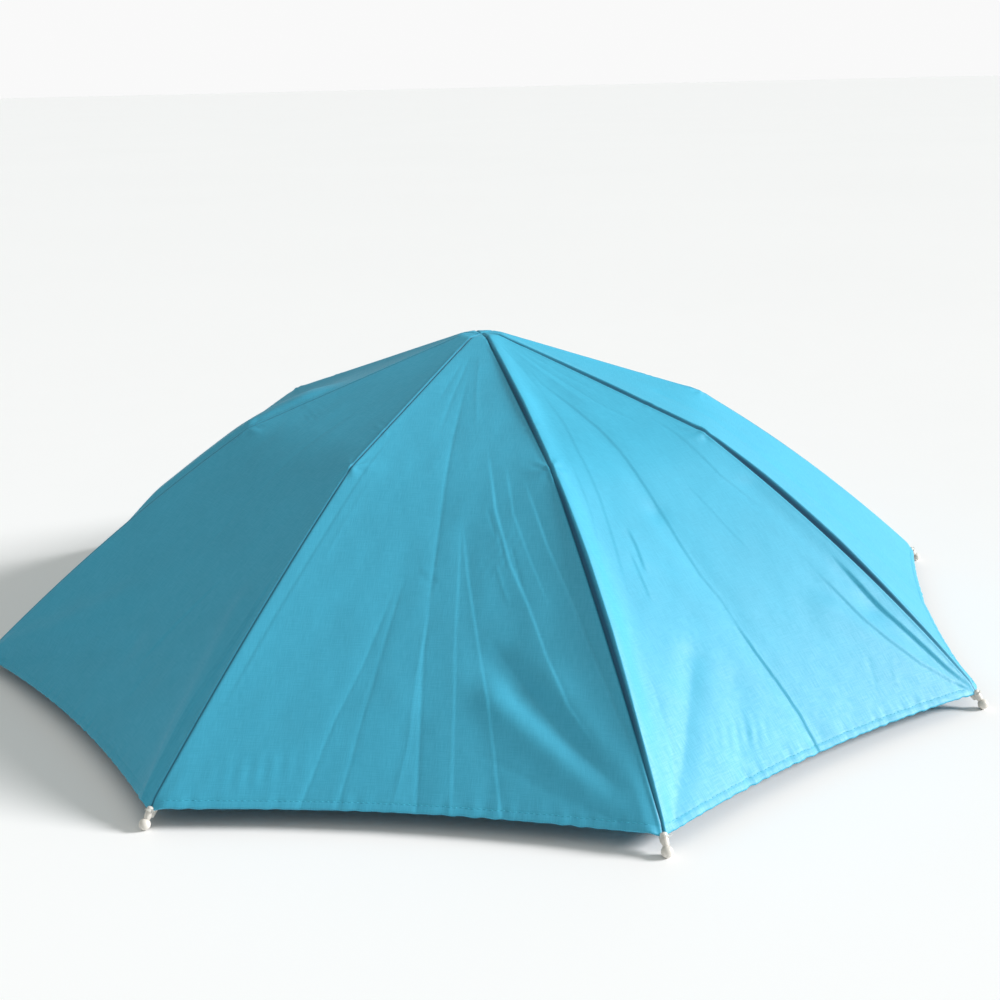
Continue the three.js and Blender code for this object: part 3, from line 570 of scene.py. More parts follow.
# %% Table of broad folds
# gore, across, down, across at the end, down at the end, width mm, rise mm
BROAD_FOLDS = [
    (1, 0.46, 0.20, 0.43, 0.55, 7, -0.9),
    (1, 0.43, 0.55, 0.50, 1.00, 8, -1.0),
    (1, 0.93, 0.55, 0.93, 0.82, 8, -1.2),
    (1, 0.93, 0.82, 0.98, 1.00, 12, -1.2),
    (1, 0.80, 0.80, 0.96, 0.98, 10, 0.9),
    (1, 0.25, 0.80, 0.02, 1.00, 9, -1.4),
    (1, 0.35, 0.86, 0.26, 1.00, 10, -0.6),
    (2, 0.12, 0.60, 0.03, 0.98, 12, 1.5),
    (2, 0.62, 0.35, 0.55, 1.00, 9, -1.2),
    (3, 0.44, 0.30, 0.52, 1.00, 9, -1.5),
    (3, 0.70, 0.74, 0.98, 0.99, 12, 2.1),
    (4, 0.50, 0.25, 0.46, 1.00, 8, -1.5),
    (4, 0.30, 0.80, 0.03, 0.99, 12, 2.1),
    (5, 0.42, 0.40, 0.50, 1.00, 8, -1.5),
    (5, 0.72, 0.78, 0.98, 0.99, 11, 1.8),
    (6, 0.55, 0.30, 0.48, 1.00, 8, -1.5),
    (6, 0.70, 0.80, 0.98, 0.99, 12, 1.8),
    (6, 0.78, 0.34, 0.86, 0.62, 24, 10.0),
    (7, 0.30, 0.80, 0.03, 0.98, 12, 3.8),
    (7, 0.50, 0.86, 0.08, 0.99, 11, -3.4),
    (7, 0.88, 0.70, 0.97, 0.98, 9, 3.0),
    (8, 0.46, 0.12, 0.53, 1.00, 7, -0.4),
    (8, 0.59, 0.55, 0.68, 1.00, 7, -0.5),
    (8, 0.39, 0.60, 0.30, 1.00, 8, -0.5),
    (8, 0.75, 0.55, 0.84, 0.80, 9, 0.6),
    (8, 0.84, 0.80, 0.99, 0.99, 10, 1.8),
    (8, 0.70, 0.77, 0.97, 0.98, 10, -3.2),
    (8, 0.68, 0.83, 0.98, 0.99, 11, 3.4),
    (8, 0.02, 0.99, 0.45, 0.84, 13, 1.5),
]
print("broad folds:", len(BROAD_FOLDS))

# %% [markdown]
# ## Creases, pleats and wrinkles
# A folding hat is kept folded, so each gore has sharp creases that run from the crown to the hem.
# Each is a line through a few points, and its section is a sharp ridge or, with a negative rise, a
# sharp valley. A pleat is such a line too, with a step in its section: one side is high and the
# other is low. Wrinkles come in groups of short waves where the cloth is pulled.

# %% Table of creases
# gore, width mm, rise mm, points as across and down
CREASES = [
    (8, 1.4, -0.55, [(.46, .10), (.47, .34), (.485, .50), (.49, .63), (.496, .76), (.515, .90), (.525, 1)]),
    (8, 1.4, 0.35, [(.495, .62), (.485, .80), (.49, .90), (.475, 1)]),
    (8, 1.3, -0.45, [(.38, .63), (.34, .78), (.31, .87), (.29, 1)]),
    (8, 1.3, -0.40, [(.40, .60), (.385, .71), (.375, .84), (.37, .93), (.365, 1)]),
    (8, 2.4, 0.30, [(.13, .45), (.10, .62)]),
    (8, 1.2, 0.60, [(.44, .615), (.47, .622), (.50, .615)]),
    (8, 1.2, -0.50, [(.45, .635), (.48, .640), (.51, .632)]),
    (8, 1.2, -0.35, [(.68, .50), (.71, .56)]),
    (8, 1.2, -0.40, [(.72, .54), (.74, .62)]),
    (8, 1.2, 0.35, [(.70, .60), (.74, .68)]),
    (8, 1.2, -0.35, [(.76, .56), (.79, .66)]),
    (8, 2.6, -0.60, [(.66, .72), (.76, .80), (.83, .87), (.90, .92), (.955, .96)]),
    (8, 3.0, -0.50, [(.60, .90), (.70, .925), (.80, .96), (.92, .99)]),
    (8, 1.4, -0.40, [(.40, .08), (.36, .22), (.37, .34)]),
    (8, 1.4, 0.30, [(.62, .08), (.60, .20), (.62, .32)]),
    (8, 1.4, -0.30, [(.28, .10), (.24, .24)]),
    (1, 3.2, -0.35, [(.02, 1), (.08, .95), (.14, .90), (.21, .84), (.28, .79)]),
    (1, 3.2, -0.20, [(.35, .87), (.27, .97)]),
    (1, 1.4, -0.40, [(.30, .05), (.34, .14), (.31, .24)]),
    (1, 1.4, -0.45, [(.68, .06), (.66, .16), (.70, .28), (.78, .40)]),
    (1, 1.6, 0.40, [(.60, .06), (.58, .16), (.62, .30)]),
    (1, 1.6, -0.40, [(.82, .08), (.80, .18), (.84, .30)]),
    (1, 2.0, -0.45, [(.10, .80), (.09, .90), (.05, .98)]),
    (1, 1.6, 0.30, [(.86, .90), (.80, .955)]),
    (1, 1.6, -0.30, [(.80, .88), (.74, .95)]),
    (7, 3.0, -0.60, [(.47, .81), (.33, .88), (.20, .95), (.03, 1)]),
    (7, 3.0, 0.60, [(.53, .86), (.30, .93), (.10, .985)]),
    (7, 3.0, 0.45, [(.45, .76), (.30, .85), (.02, .97)]),
    (7, 1.8, -0.45, [(.68, .84), (.66, .93)]),
    (7, 2.2, 0.45, [(.90, .86), (.93, .93), (.97, 1)]),
    (7, 2.2, -0.40, [(.95, .85), (.96, .95)]),
    (7, 2.2, -0.35, [(.52, .25), (.50, .50), (.47, .75)]),
    (2, 2.2, -0.50, [(.50, .20), (.52, .50), (.48, .80), (.50, 1)]),
    (2, 2.4, 0.50, [(.25, .60), (.18, .80), (.06, .97)]),
    (3, 2.2, -0.50, [(.46, .15), (.49, .50), (.50, .80), (.48, 1)]),
    (3, 2.0, -0.35, [(.62, .60), (.66, .80), (.70, 1)]),
    (4, 2.2, -0.50, [(.52, .15), (.50, .50), (.47, .80), (.50, 1)]),
    (4, 2.0, -0.35, [(.30, .60), (.34, .80), (.33, 1)]),
    (5, 2.2, -0.50, [(.48, .15), (.50, .50), (.53, .80), (.51, 1)]),
    (5, 2.0, 0.35, [(.66, .55), (.70, .80), (.86, .97)]),
    (6, 2.2, -0.50, [(.52, .15), (.53, .50), (.50, .80), (.52, 1)]),
    (6, 2.0, -0.35, [(.36, .62), (.30, .82), (.28, 1)]),
]
# gore, width of the step mm, reach mm, rise mm, points: a pleat is high on its left and low on
# its right, or with a negative rise the other way round
PLEATS = [
    (8, 1.4, 9, 0.22, [(.69, .34), (.697, .39), (.715, .505), (.755, .604), (.80, .68), (.83, .76),
                       (.862, .832), (.93, .92)]),
    (8, 1.2, 6, 0.12, [(.784, .40), (.787, .512), (.824, .595), (.867, .692)]),
    (8, 1.4, 7, 0.24, [(.86, .42), (.865, .46), (.895, .57), (.938, .69), (.962, .79), (.981, .88),
                       (.99, .95)]),
    (8, 1.1, 4, 0.11, [(.566, .50), (.578, .63), (.581, .74), (.59, .86), (.595, 1)]),
    (8, 1.1, 5, 0.15, [(.569, .50), (.609, .628), (.645, .74), (.67, .83), (.684, .916), (.694, 1)]),
    (8, 1.4, 5, -0.12, [(.08, .30), (.07, .50), (.05, .70), (.04, .90)]),
    (1, 1.3, 6, -0.22, [(.463, .10), (.425, .20), (.474, .27), (.487, .35), (.47, .415), (.458, .48),
                        (.45, .56), (.442, .62), (.444, .68), (.462, .73), (.464, .80), (.475, .85)]),
    (1, 1.1, 7, -0.38, [(.460, .76), (.468, .82), (.485, .90), (.49, .94), (.485, 1)]),
    (1, 1.3, 5, -0.14, [(.335, .20), (.276, .32), (.219, .40), (.195, .50), (.173, .56), (.147, .63),
                        (.132, .70)]),
    (1, 1.3, 5, -0.10, [(.14, .40), (.119, .518), (.086, .59), (.073, .68)]),
    (1, 1.3, 4, -0.30, [(.253, .56), (.252, .598), (.236, .65)]),
    (1, 1.3, 4, -0.18, [(.215, .60), (.205, .70)]),
    (1, 1.3, 5, -0.16, [(.90, .34), (.856, .454), (.845, .515), (.867, .562), (.886, .61)]),
    (1, 1.3, 5, -0.10, [(.658, .50), (.672, .60), (.688, .68)]),
    (1, 2.0, 7, -0.85, [(.955, .70), (.947, .79), (.949, .835), (.961, .889), (.972, .948), (.995, 1)]),
    (1, 2.0, 8, -0.40, [(.85, .72), (.865, .835), (.884, .88), (.913, .929), (.954, .97), (.995, 1)]),
    (7, 1.4, 6, 0.30, [(.70, .68), (.64, .78), (.60, .88)]),
    (7, 1.4, 8, 0.55, [(.965, .60), (.955, .75), (.945, .88), (.97, 1)]),
    (2, 1.6, 7, -0.50, [(.16, .62), (.12, .78), (.06, .90), (.01, 1)]),
    (2, 1.6, 7, -0.30, [(.30, .74), (.20, .88), (.08, .97)]),
]
# gore, across, down, lean from the rib in degrees, number, spacing mm, length mm, rise mm
WRINKLE_GROUPS = [
    (7, 0.22, 0.34, 62, 6, 3.4, 15, 0.28),
    (7, 0.94, 0.315, 70, 4, 3.0, 12, 0.28),
    (8, 0.74, 0.59, 14, 4, 5.0, 34, 0.07),
    (1, 0.30, 0.93, 12, 5, 7.0, 18, 0.14),
    (8, 0.18, 0.95, -14, 5, 8.0, 16, 0.11),
]
print("creases:", len(CREASES), "pleats:", len(PLEATS), "groups of wrinkles:", len(WRINKLE_GROUPS))

# %% [markdown]
# ## Height of the cloth
# The height over the smooth sheet is a sum: broad folds, creases, pleats, groups of wrinkles,
# stars of small puckers where the cloth is tied to the joints of a rib, and a faint unevenness.
# All of it fades out at the seams, where the cloth is held by its thread.

# %% Height functions
BROAD_RISE, CREASE_RISE = 0.6, 0.6  # the share of the rises in the tables that this cloth takes
AT_HEM, FADE_SHARE = 0.98, 0.25  # a line's end fades out over a share of it, but not at the hem
WRINKLE_LEAN, WAVER, WAVER_LENGTH = 0.12, 0.9, 6.0


def rows_of(table, gore):
    return [row[1:] for row in table if row[0] == gore]


def distance_to_line(x, y, points):
    """Distance to a line through points, and the share of the line's length. The distance is
    positive on the right of a line that runs down to the hem, seen from outside."""
    nearest = np.full(x.shape, 1e9)
    share = np.zeros(x.shape)
    lengths = [math.dist(a, b) for a, b in zip(points, points[1:])]
    total, done = sum(lengths), 0.0
    for (x0, y0), (x1, y1), length in zip(points, points[1:], lengths):
        part = np.clip(((x - x0) * (x1 - x0) + (y - y0) * (y1 - y0)) / length**2, 0, 1)
        away = np.hypot(x - x0 - part * (x1 - x0), y - y0 - part * (y1 - y0))
        side = np.where((y1 - y0) * (x - x0) - (x1 - x0) * (y - y0) < 0, -1.0, 1.0)
        closer = away < np.abs(nearest)
        nearest = np.where(closer, side * away, nearest)
        share = np.where(closer, (done + part * length) / total, share)
        done += length
    return nearest, share


def gore_width(down):
    return np.maximum(1.0, 2 * rib_profile(down * rib_length)[0] * math.sin(RIB_STEP / 2))


def to_flat(across, down):
    return (across - 0.5) * gore_width(down), down * rib_length


def broad_height(gore, across, down):
    width = gore_width(down)
    height = np.zeros(across.shape)
    for a0, d0, a1, d1, fold_width, rise in rows_of(BROAD_FOLDS, gore):
        run = ((a1 - a0) * width, (d1 - d0) * rib_length)
        to = ((across - a0) * width, (down - d0) * rib_length)
        share = np.clip((to[0] * run[0] + to[1] * run[1]) / (run[0] ** 2 + run[1] ** 2), 0, 1)
        away = np.hypot(to[0] - share * run[0], to[1] - share * run[1])
        height += BROAD_RISE * rise * bell(away, fold_width)
    return height


def faded_line(points, x, y):
    line = [tuple(float(c) for c in to_flat(np.float64(a), np.float64(d))) for a, d in points]
    away, share = distance_to_line(x, y, line)
    fade_in = 1.0 if points[0][1] > AT_HEM else smooth(share / FADE_SHARE)
    fade_out = 1.0 if points[-1][1] > AT_HEM else smooth((1 - share) / FADE_SHARE)
    return away, fade_in * fade_out


def crease_height(gore, across, down):
    x, y = to_flat(across, down)
    height = np.zeros(across.shape)
    for width, rise, points in rows_of(CREASES, gore):
        away, fade = faded_line(points, x, y)
        height += CREASE_RISE * rise * fade * np.exp(-np.abs(away) / width)
    for step, reach, rise, points in rows_of(PLEATS, gore):
        away, fade = faded_line(points, x, y)
        height += rise * fade * (1 - 2 * smooth(away / step + 0.5)) * np.exp(-np.abs(away) / reach)
    return height


def wrinkle_height(gore, across, down):
    x, y = to_flat(across, down)
    height = np.zeros(across.shape)
    for a, d, lean, count, spacing, length, rise in rows_of(WRINKLE_GROUPS, gore):
        x0, y0 = to_flat(np.float64(a), np.float64(d))
        turn = math.radians(lean)
        beside = (x - x0) * math.cos(turn) + (y - y0) * math.sin(turn)
        ahead = (y - y0) * math.cos(turn) - (x - x0) * math.sin(turn)
        envelope = np.exp(-((ahead / (0.5 * length)) ** 2) - (beside / (0.5 * count * spacing)) ** 2)
        bent = beside + WRINKLE_LEAN * ahead + WAVER * np.sin(ahead / WAVER_LENGTH)
        height += rise * envelope * np.cos(2 * math.pi * bent / spacing)
    return height


print("middle crease height in gore 8:", np.round(crease_height(8, np.array([0.5]), np.array([0.45])), 2))

# %% [markdown]
# ## Puckers at the joints, and unevenness
# A stitch ties the cloth to the rib at the stretcher's joint and at the hinge. Tiny folds spread
# from it like a star. The unevenness is a handful of long waves with fixed seeds, stretched
# along the gore, because the cloth is pulled from crown to hem.

# %% Puckers and unevenness
JOINT_PUCKERS = [(stretcher_at, 0.30, 4.0), (hinge_at, 0.60, 5.5)]  # along, rise mm, reach mm
STAR_ARMS, STAR_SHARE, HEART_REACH = 5, 0.55, 0.45  # shares of a pucker's rise and of its reach
UNEVEN_WAVES, UNEVENNESS = 22, 0.0008  # number of waves, and height for each mm of pitch


def pucker_height(gore, across, down):
    width = gore_width(down)
    height = np.zeros(across.shape)
    for side in (0, 1):
        beside = across * width if side == 0 else (1 - across) * width
        for index, (at, rise, spread_mm) in enumerate(JOINT_PUCKERS):
            ahead = down * rib_length - at
            away = np.hypot(beside, ahead)
            angle = np.arctan2(ahead, beside)
            turn = 1.7 * gore + 2.3 * side + 0.9 * index
            star = np.cos(STAR_ARMS * angle + turn) * bell(away - spread_mm, spread_mm)
            height += rise * (STAR_SHARE * star + bell(away, HEART_REACH * spread_mm))
    return height


def uneven_height(gore, across, down):
    x, y = to_flat(across, down)
    random = np.random.default_rng(40 + gore)
    height = np.zeros(across.shape)
    for _ in range(UNEVEN_WAVES):
        pitch = random.uniform(7, 34)
        turn = random.normal(0, 0.28)
        along_pitch = pitch * random.uniform(3.0, 7.0)
        phase, drift = random.uniform(0, 2 * math.pi, 2)
        beside = x * math.cos(turn) + y * math.sin(turn)
        sway = 1.3 * np.sin(2 * math.pi * y / along_pitch + drift)
        wave = np.cos(2 * math.pi * beside / pitch + phase + sway)
        height += UNEVENNESS * pitch * wave * np.sin(2 * math.pi * y / (1.7 * along_pitch) + phase)
    return height * smooth(down / 0.25)


print("unevenness in gore 8:", np.round(uneven_height(8, np.array([0.3, 0.6]), np.array([0.5, 0.7])), 3))

# %% [markdown]
# ## The sheet of a gore
# The smooth sheet hangs in a shallow curve between its two ribs, is rounded over the hinges, and
# rises beside the seam in a low crest, since the seam's folded edge pushes it up. On the two
# seams that the light rakes, the crest is high and its inner side is in shade. That inner side
# and the seam's fold also get painted shade: a darker colour, given as an attribute of the mesh.

# %% Cloth surface
HEM_SCALLOP, GORE_SAG = 7.0, 6.0
HELD_WIDTH = 9.0
HEM_WIDTH, STITCH_UP = 5.5, 4.0
HINGE_ROUNDING = 44.0
CORNER_DIP, CORNER_REACH = 1.6, 4.5  # the corner of the cloth is drawn down into the tip's sleeve
EDGE_WAVE, EDGE_WAVE_FROM = 0.35, 0.97  # the hem's edge wanders, below this share of the length
QUILT_RISE, QUILT_REACH = 0.16, 4.0  # puckers along the row of stitches
GROOVE_DEPTH, GROOVE_REACH, HEM_PUFF = 0.07, 0.7, 0.06
SEAM_FLAT, CREST_TAIL = 0.35, 5.0  # beside the thread, before the crest, and beyond the crest
SEAM_DIP, SEAM_DIP_REACH = 0.55, 0.55
TOPSTITCH_RISE, TOPSTITCH_AT, TOPSTITCH_REACH = 0.30, 1.5, 0.8
SHADE_REACH, SHADED_HEIGHT = 0.6, 3.5
ROUNDED_FROM_SEAM = 25.0
# for each gore: shares down the seam, and there the width and height in mm of its crest's wall
SEAM_WALLS = {
    1: ([0.02, 0.12, 0.25, 0.36, 0.43, 0.50, 0.60, 0.72, 0.82, 0.92, 1.0],
        [1.0, 1.4, 1.9, 1.6, 1.3, 1.8, 2.4, 2.4, 1.9, 1.4, 1.0],
        [1.0, 2.4, 3.4, 2.4, 1.8, 3.6, 5.2, 5.2, 3.8, 1.8, 0.5]),
    2: ([0.02, 0.12, 0.25, 0.43, 0.55, 0.70, 0.85, 1.0],
        [1.0, 1.4, 1.9, 1.8, 2.4, 2.4, 1.8, 1.0],
        [0.5, 1.3, 2.2, 2.0, 3.8, 4.0, 2.2, 0.5]),
    7: ([0.02, 0.5, 1.0], [1.2, 1.6, 1.6], [0.15, 0.25, 0.3]),
    8: ([0.02, 0.5, 1.0], [1.2, 1.6, 1.6], [0.15, 0.25, 0.3]),
}
USUAL_WALL = ([0.05, 0.3, 0.6, 0.85, 1.0], [1.5, 2.4, 3.5, 2.8, 1.5], [0.3, 0.8, 1.8, 1.2, 0.3])


def seam_wall(gore, down):
    places, widths, heights = SEAM_WALLS.get(gore, USUAL_WALL)
    return np.interp(down, places, widths), np.interp(down, places, heights)


def seam_crest(gore, from_seam, down):
    wall, height = seam_wall(gore, down)
    beyond = np.maximum(0, from_seam - SEAM_FLAT - wall)
    return height * smooth((from_seam - SEAM_FLAT) / wall) * bell(beyond, 2.0 * wall + CREST_TAIL)


def painted_seam_shade(gore, from_start, from_end, down):
    """How deep in a seam's fold, or up a crest's inner wall in shade, a point lies, from 0 to 1: the share
    of painted shade in its colour.
    """
    wall, height = seam_wall(gore, down)
    # painted shade on the crest's inner wall, which faces away from the light
    painted_wall_shade = smooth((SEAM_FLAT + 0.9 * wall - from_start) / (0.5 * wall))
    painted_wall_shade *= smooth(height / SHADED_HEIGHT)
    # painted shade along the seam's thread line, where its crease lies
    in_seam = bell(np.minimum(from_start, from_end), SHADE_REACH)
    return np.maximum(painted_wall_shade, 0.85 * in_seam) * smooth((from_start + from_end) / 14)


def hem_wave(gore, x):
    random = np.random.default_rng(70 + gore)
    wave = np.zeros(x.shape)
    for _ in range(14):
        pitch = random.uniform(4, 12)
        swell = 1 + np.sin(2 * math.pi * x / random.uniform(40, 90) + random.uniform(0, 2 * math.pi))
        ripple = np.cos(2 * math.pi * x / pitch + random.uniform(0, 2 * math.pi))
        wave += swell * ripple * pitch / 16  # a longer ripple is a higher one
    return wave / 4.0


def cloth_surface(gore, across, down):
    """Outer points, outward directions and distance up from the hem's edge, in millimetres."""
    x = (across - 0.5) * gore_width(down)
    scallop = HEM_SCALLOP * 4 * across * (1 - across) * smooth(down) / rib_length
    wave = hem_wave(gore, x)
    along = down * (1 - scallop) * rib_length
    along = along + EDGE_WAVE * wave * smooth((down - EDGE_WAVE_FROM) / 0.03)
    radius, drop, _ = rib_profile(along)
    start, end = rib_bearing(gore, along), rib_bearing(gore + 1, along)
    place = np.stack([
        radius * ((1 - across) * np.cos(start) + across * np.cos(end)),
        radius * ((1 - across) * np.sin(start) + across * np.sin(end)),
        crown_z - drop,
    ], axis=-1)
    bearing = (1 - across) * start + across * end
    slope = eased_slope(along)
    level = np.sin(slope)
    out = np.stack([level * np.cos(bearing), level * np.sin(bearing), np.cos(slope)], axis=-1)
    width = 2 * radius * math.sin(RIB_STEP / 2)
    to_seam = width * np.minimum(across, 1 - across)
    held = smooth(to_seam / HELD_WIDTH)
    sag = GORE_SAG * 4 * across * (1 - across) * smooth(width / (RIM_RADIUS * RIB_STEP))
    crest = seam_crest(gore, width * across, down)
    corner = (outer_slope - inner_slope) / (2 * HINGE_ROUNDING)
    rounded = corner * np.maximum(0, HINGE_ROUNDING / 2 - np.abs(along - hinge_at)) ** 2
    up = rib_length * (1 - down)
    quilting = QUILT_RISE * wave * bell(up - STITCH_UP, QUILT_REACH)
    groove = -GROOVE_DEPTH * bell(up - STITCH_UP, GROOVE_REACH)
    puffed = HEM_PUFF * np.clip(1 - ((up - STITCH_UP / 2) / (STITCH_UP / 2)) ** 2, 0, 1)
    seam_line = -SEAM_DIP * bell(to_seam, SEAM_DIP_REACH) * smooth(width / 8.0)
    topstitch = TOPSTITCH_RISE * bell(width * (1 - across) - TOPSTITCH_AT, TOPSTITCH_REACH)
    seam_line += topstitch * smooth((width - 8) / 20.0)
    lift = crest - sag - rounded * smooth(to_seam / ROUNDED_FROM_SEAM)
    lift = lift + quilting + groove + puffed + seam_line
    lift -= CORNER_DIP * np.exp(-((to_seam**2 + up**2) / CORNER_REACH**2))
    lift += held * (broad_height(gore, across, down) + crease_height(gore, across, down))
    lift += held * (wrinkle_height(gore, across, down) + uneven_height(gore, across, down))
    lift += pucker_height(gore, across, down) * smooth(to_seam / 2.0)
    return place + lift[:, None] * out, out, up


print("corner of gore 8:", np.round(cloth_surface(8, np.array([1.0]), np.array([1.0]))[0][0], 1))

# %% [markdown]
# ## Rows of points
# The cloth's grid has rows from crown to hem with about equal cells, so a row near the crown has
# few points and one at the hem has many. Extra columns lie close to both seams and extra rows
# in the hem, where the shape turns quickly. The panels that the camera sees have finer cells.

# %% Rows of a gore
CELL_ACROSS = [0.9, 1.2, 2.0, 2.0, 2.0, 2.0, 1.0, 0.85]  # mm, for gore 1 to 8
CELL_ALONG = [1.9, 2.2, 2.4, 2.4, 2.4, 2.4, 2.0, 1.9]
SEAM_COLUMNS = [0.0, 0.4, 0.8, 1.3, 1.9, 2.6]
BLOCK = 8  # the number of cells in a row changes by this many
FIRST_ROW = -1.35  # the cloth starts inside the crown's hole
HEM_LEAD, HEM_ROWS = 2.0, 14


def gore_rows(gore):
    cell = CELL_ACROSS[gore - 1]
    hem_top = rib_length - HEM_WIDTH - HEM_LEAD
    main = np.linspace(FIRST_ROW, hem_top, round(hem_top / CELL_ALONG[gore - 1]))
    hem = np.linspace(hem_top, rib_length, HEM_ROWS)[1:]
    rows = []
    for along in np.concatenate([main, hem]):
        width = float(gore_width(np.float64(max(along, 0) / rib_length)))
        if width > 24:
            edge = np.array(SEAM_COLUMNS) / width
            count = BLOCK * max(1, round((width - 2 * SEAM_COLUMNS[-1]) / (BLOCK * cell)))
            middle = np.linspace(edge[-1], 1 - edge[-1], count + 1)[1:-1]
            across = np.concatenate([edge, middle, 1 - edge[::-1]])
        else:
            across = np.linspace(0, 1, (16 if width > 12 else 8) + 1)
        rows.append((across, along / rib_length))
    return rows


def zip_rows(upper, lower, upper_first, lower_first):
    """Faces between two rows. Rows of one count give quads, and others give triangles."""
    if len(upper) == len(lower):
        a, b = upper_first, lower_first
        return [(a + i, b + i, b + i + 1, a + i + 1) for i in range(len(upper) - 1)]
    faces, i, j = [], 0, 0
    while i < len(upper) - 1 or j < len(lower) - 1:
        if j >= len(lower) - 1 or (i < len(upper) - 1 and upper[i + 1] < lower[j + 1]):
            faces.append((upper_first + i, lower_first + j, upper_first + i + 1))
            i += 1
        else:
            faces.append((upper_first + i, lower_first + j, lower_first + j + 1))
            j += 1
    return faces


print("rows of gore 8:", len(gore_rows(8)), "and points in its last row:", len(gore_rows(8)[-1][0]))

# %% [markdown]
# ## Making a gore
# A gore is one closed thin sheet: an outer and an inner face joined round the edge. It is thicker
# where the real cloth is doubled, in the turned hem and in the seam allowances on the inside, and
# the hem's edge is rounded by one more row. Its flat coordinates go into a UV map.

# %% Gore meshes
CLOTH, HEM_EXTRA, ALLOWANCE_EXTRA, ALLOWANCE = 0.32, 0.75, 0.45, 5.0
THICKNESS_EASING, FOLD_BULGE = 0.9, 0.45
FLAT_PITCH = 300  # sets the gores' flat coordinates apart


def mesh_object(name, vertices, faces, material, flat=None):
    mesh = bpy.data.meshes.new(name)
    mesh.from_pydata((np.asarray(vertices) * MM).tolist(), [], faces)
    mesh.materials.append(material)
    mesh.polygons.foreach_set("use_smooth", [True] * len(mesh.polygons))
    if flat is not None:
        corners = np.zeros(len(mesh.loops), dtype=np.int32)
        mesh.loops.foreach_get("vertex_index", corners)
        layer = mesh.uv_layers.new(name="cloth_flat")
        layer.data.foreach_set("uv", (np.asarray(flat)[corners] * MM).astype(np.float32).ravel())
    mesh.update()
    made = bpy.data.objects.new(name, mesh)
    bpy.context.scene.collection.objects.link(made)
    return made


def make_gore(gore):
    rows = gore_rows(gore)
    counts = [len(across) for across, _ in rows]
    first = np.concatenate([[0], np.cumsum(counts)]).tolist()
    across = np.concatenate([row[0] for row in rows])
    down = np.concatenate([np.full(len(row[0]), row[1]) for row in rows])
    outer, out, up = cloth_surface(gore, across, down)
    width = gore_width(down)
    to_seam = width * np.minimum(across, 1 - across)
    in_hem = smooth((HEM_WIDTH - up) / THICKNESS_EASING + 0.5)
    in_seam = smooth((ALLOWANCE - to_seam) / THICKNESS_EASING + 0.5) * smooth((width - 16) / 12)
    thick = CLOTH + HEM_EXTRA * in_hem + ALLOWANCE_EXTRA * in_seam * (1 - in_hem)
    inner = outer - thick[:, None] * out
    total = len(across)
    last = np.arange(first[-2], first[-1])
    fold = (outer[last] + inner[last]) / 2
    downhill = outer[last] - outer[last - counts[-1]]
    fold += FOLD_BULGE * downhill / np.linalg.norm(downhill, axis=1)[:, None]
    vertices = np.concatenate([outer, inner, fold])
    faces = []
    for row in range(len(rows) - 1):
        upper, lower = rows[row][0], rows[row + 1][0]
        faces += zip_rows(upper, lower, first[row], first[row + 1])
        faces += [f[::-1] for f in zip_rows(upper, lower, total + first[row], total + first[row + 1])]
        a, b = first[row], first[row + 1]
        faces.append((a, a + total, b + total, b))
        a, b = a + counts[row] - 1, b + counts[row + 1] - 1
        faces.append((a, b, b + total, a + total))
    a, b, c = first[-2], total + first[-2], 2 * total
    for i in range(counts[-1] - 1):
        faces.append((a + i, c + i, c + i + 1, a + i + 1))
        faces.append((c + i, b + i, b + i + 1, c + i + 1))
    end = counts[-1] - 1
    faces += [(a, b, c), (a + end, c + end, b + end)]
    faces += [(i + 1, i, total + i, total + i + 1)[::-1] for i in range(counts[0] - 1)]
    flat = np.stack([(across - 0.5) * width + FLAT_PITCH * gore, down * rib_length], axis=-1)
    flat = np.concatenate([flat, flat, flat[last]])
    made = mesh_object(f"canopy_gore_{gore}", vertices, faces, blue_satin, flat)
    # painted shade for the satin's colour, in the seams' folds and on the crests' inner walls, stored on
    # the points
    shade = painted_seam_shade(gore, width * across, width * (1 - across), down)
    layer = made.data.attributes.new("painted_seam_shade", "FLOAT", "POINT")
    layer.data.foreach_set("value", np.concatenate([shade, shade, shade[last]]).astype(np.float32))
    return made


gores = [make_gore(n) for n in range(1, RIB_COUNT + 1)]
flat_width = float(gore_width(np.float64(1.0)))
for n, gore in enumerate(gores, start=1):
    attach(gore, "root")
    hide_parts(f"gore_{n}")

# %% [markdown]
# ## Hem stitches
# One row of lock stitches holds the turned hem. Each stitch is a short arched strand of thread
# that dips into the cloth at both ends, so the row follows every pucker.

# %% Hem stitches
STITCH, STITCH_GAP, THREAD_RADIUS = 2.5, 0.5, 0.14
STITCH_ARCH, STITCH_SINK, STITCH_MARGIN = 0.34, 0.20, 4.0


def strand(points, outward, radius, sides=5):
    """Vertices and faces of a thin round strand through points."""
    points = np.asarray(points, dtype=float)
    ahead = np.gradient(points, axis=0)
    ahead /= np.linalg.norm(ahead, axis=1)[:, None]
    beside = np.cross(ahead, outward)
    beside /= np.linalg.norm(beside, axis=1)[:, None]
    top = np.cross(beside, ahead)
    angles = np.linspace(0, 2 * math.pi, sides, endpoint=False)
    rings = points[:, None] + radius * (
        np.cos(angles)[None, :, None] * beside[:, None] + np.sin(angles)[None, :, None] * top[:, None]
    )
    faces = []
    for ring in range(len(points) - 1):
        for k in range(sides):
            a, b = ring * sides + k, ring * sides + (k + 1) % sides
            faces.append((a, b, b + sides, a + sides))
    faces.append(tuple(range(sides))[::-1])
    faces.append(tuple(range((len(points) - 1) * sides, len(points) * sides)))
    return rings.reshape(-1, 3), faces


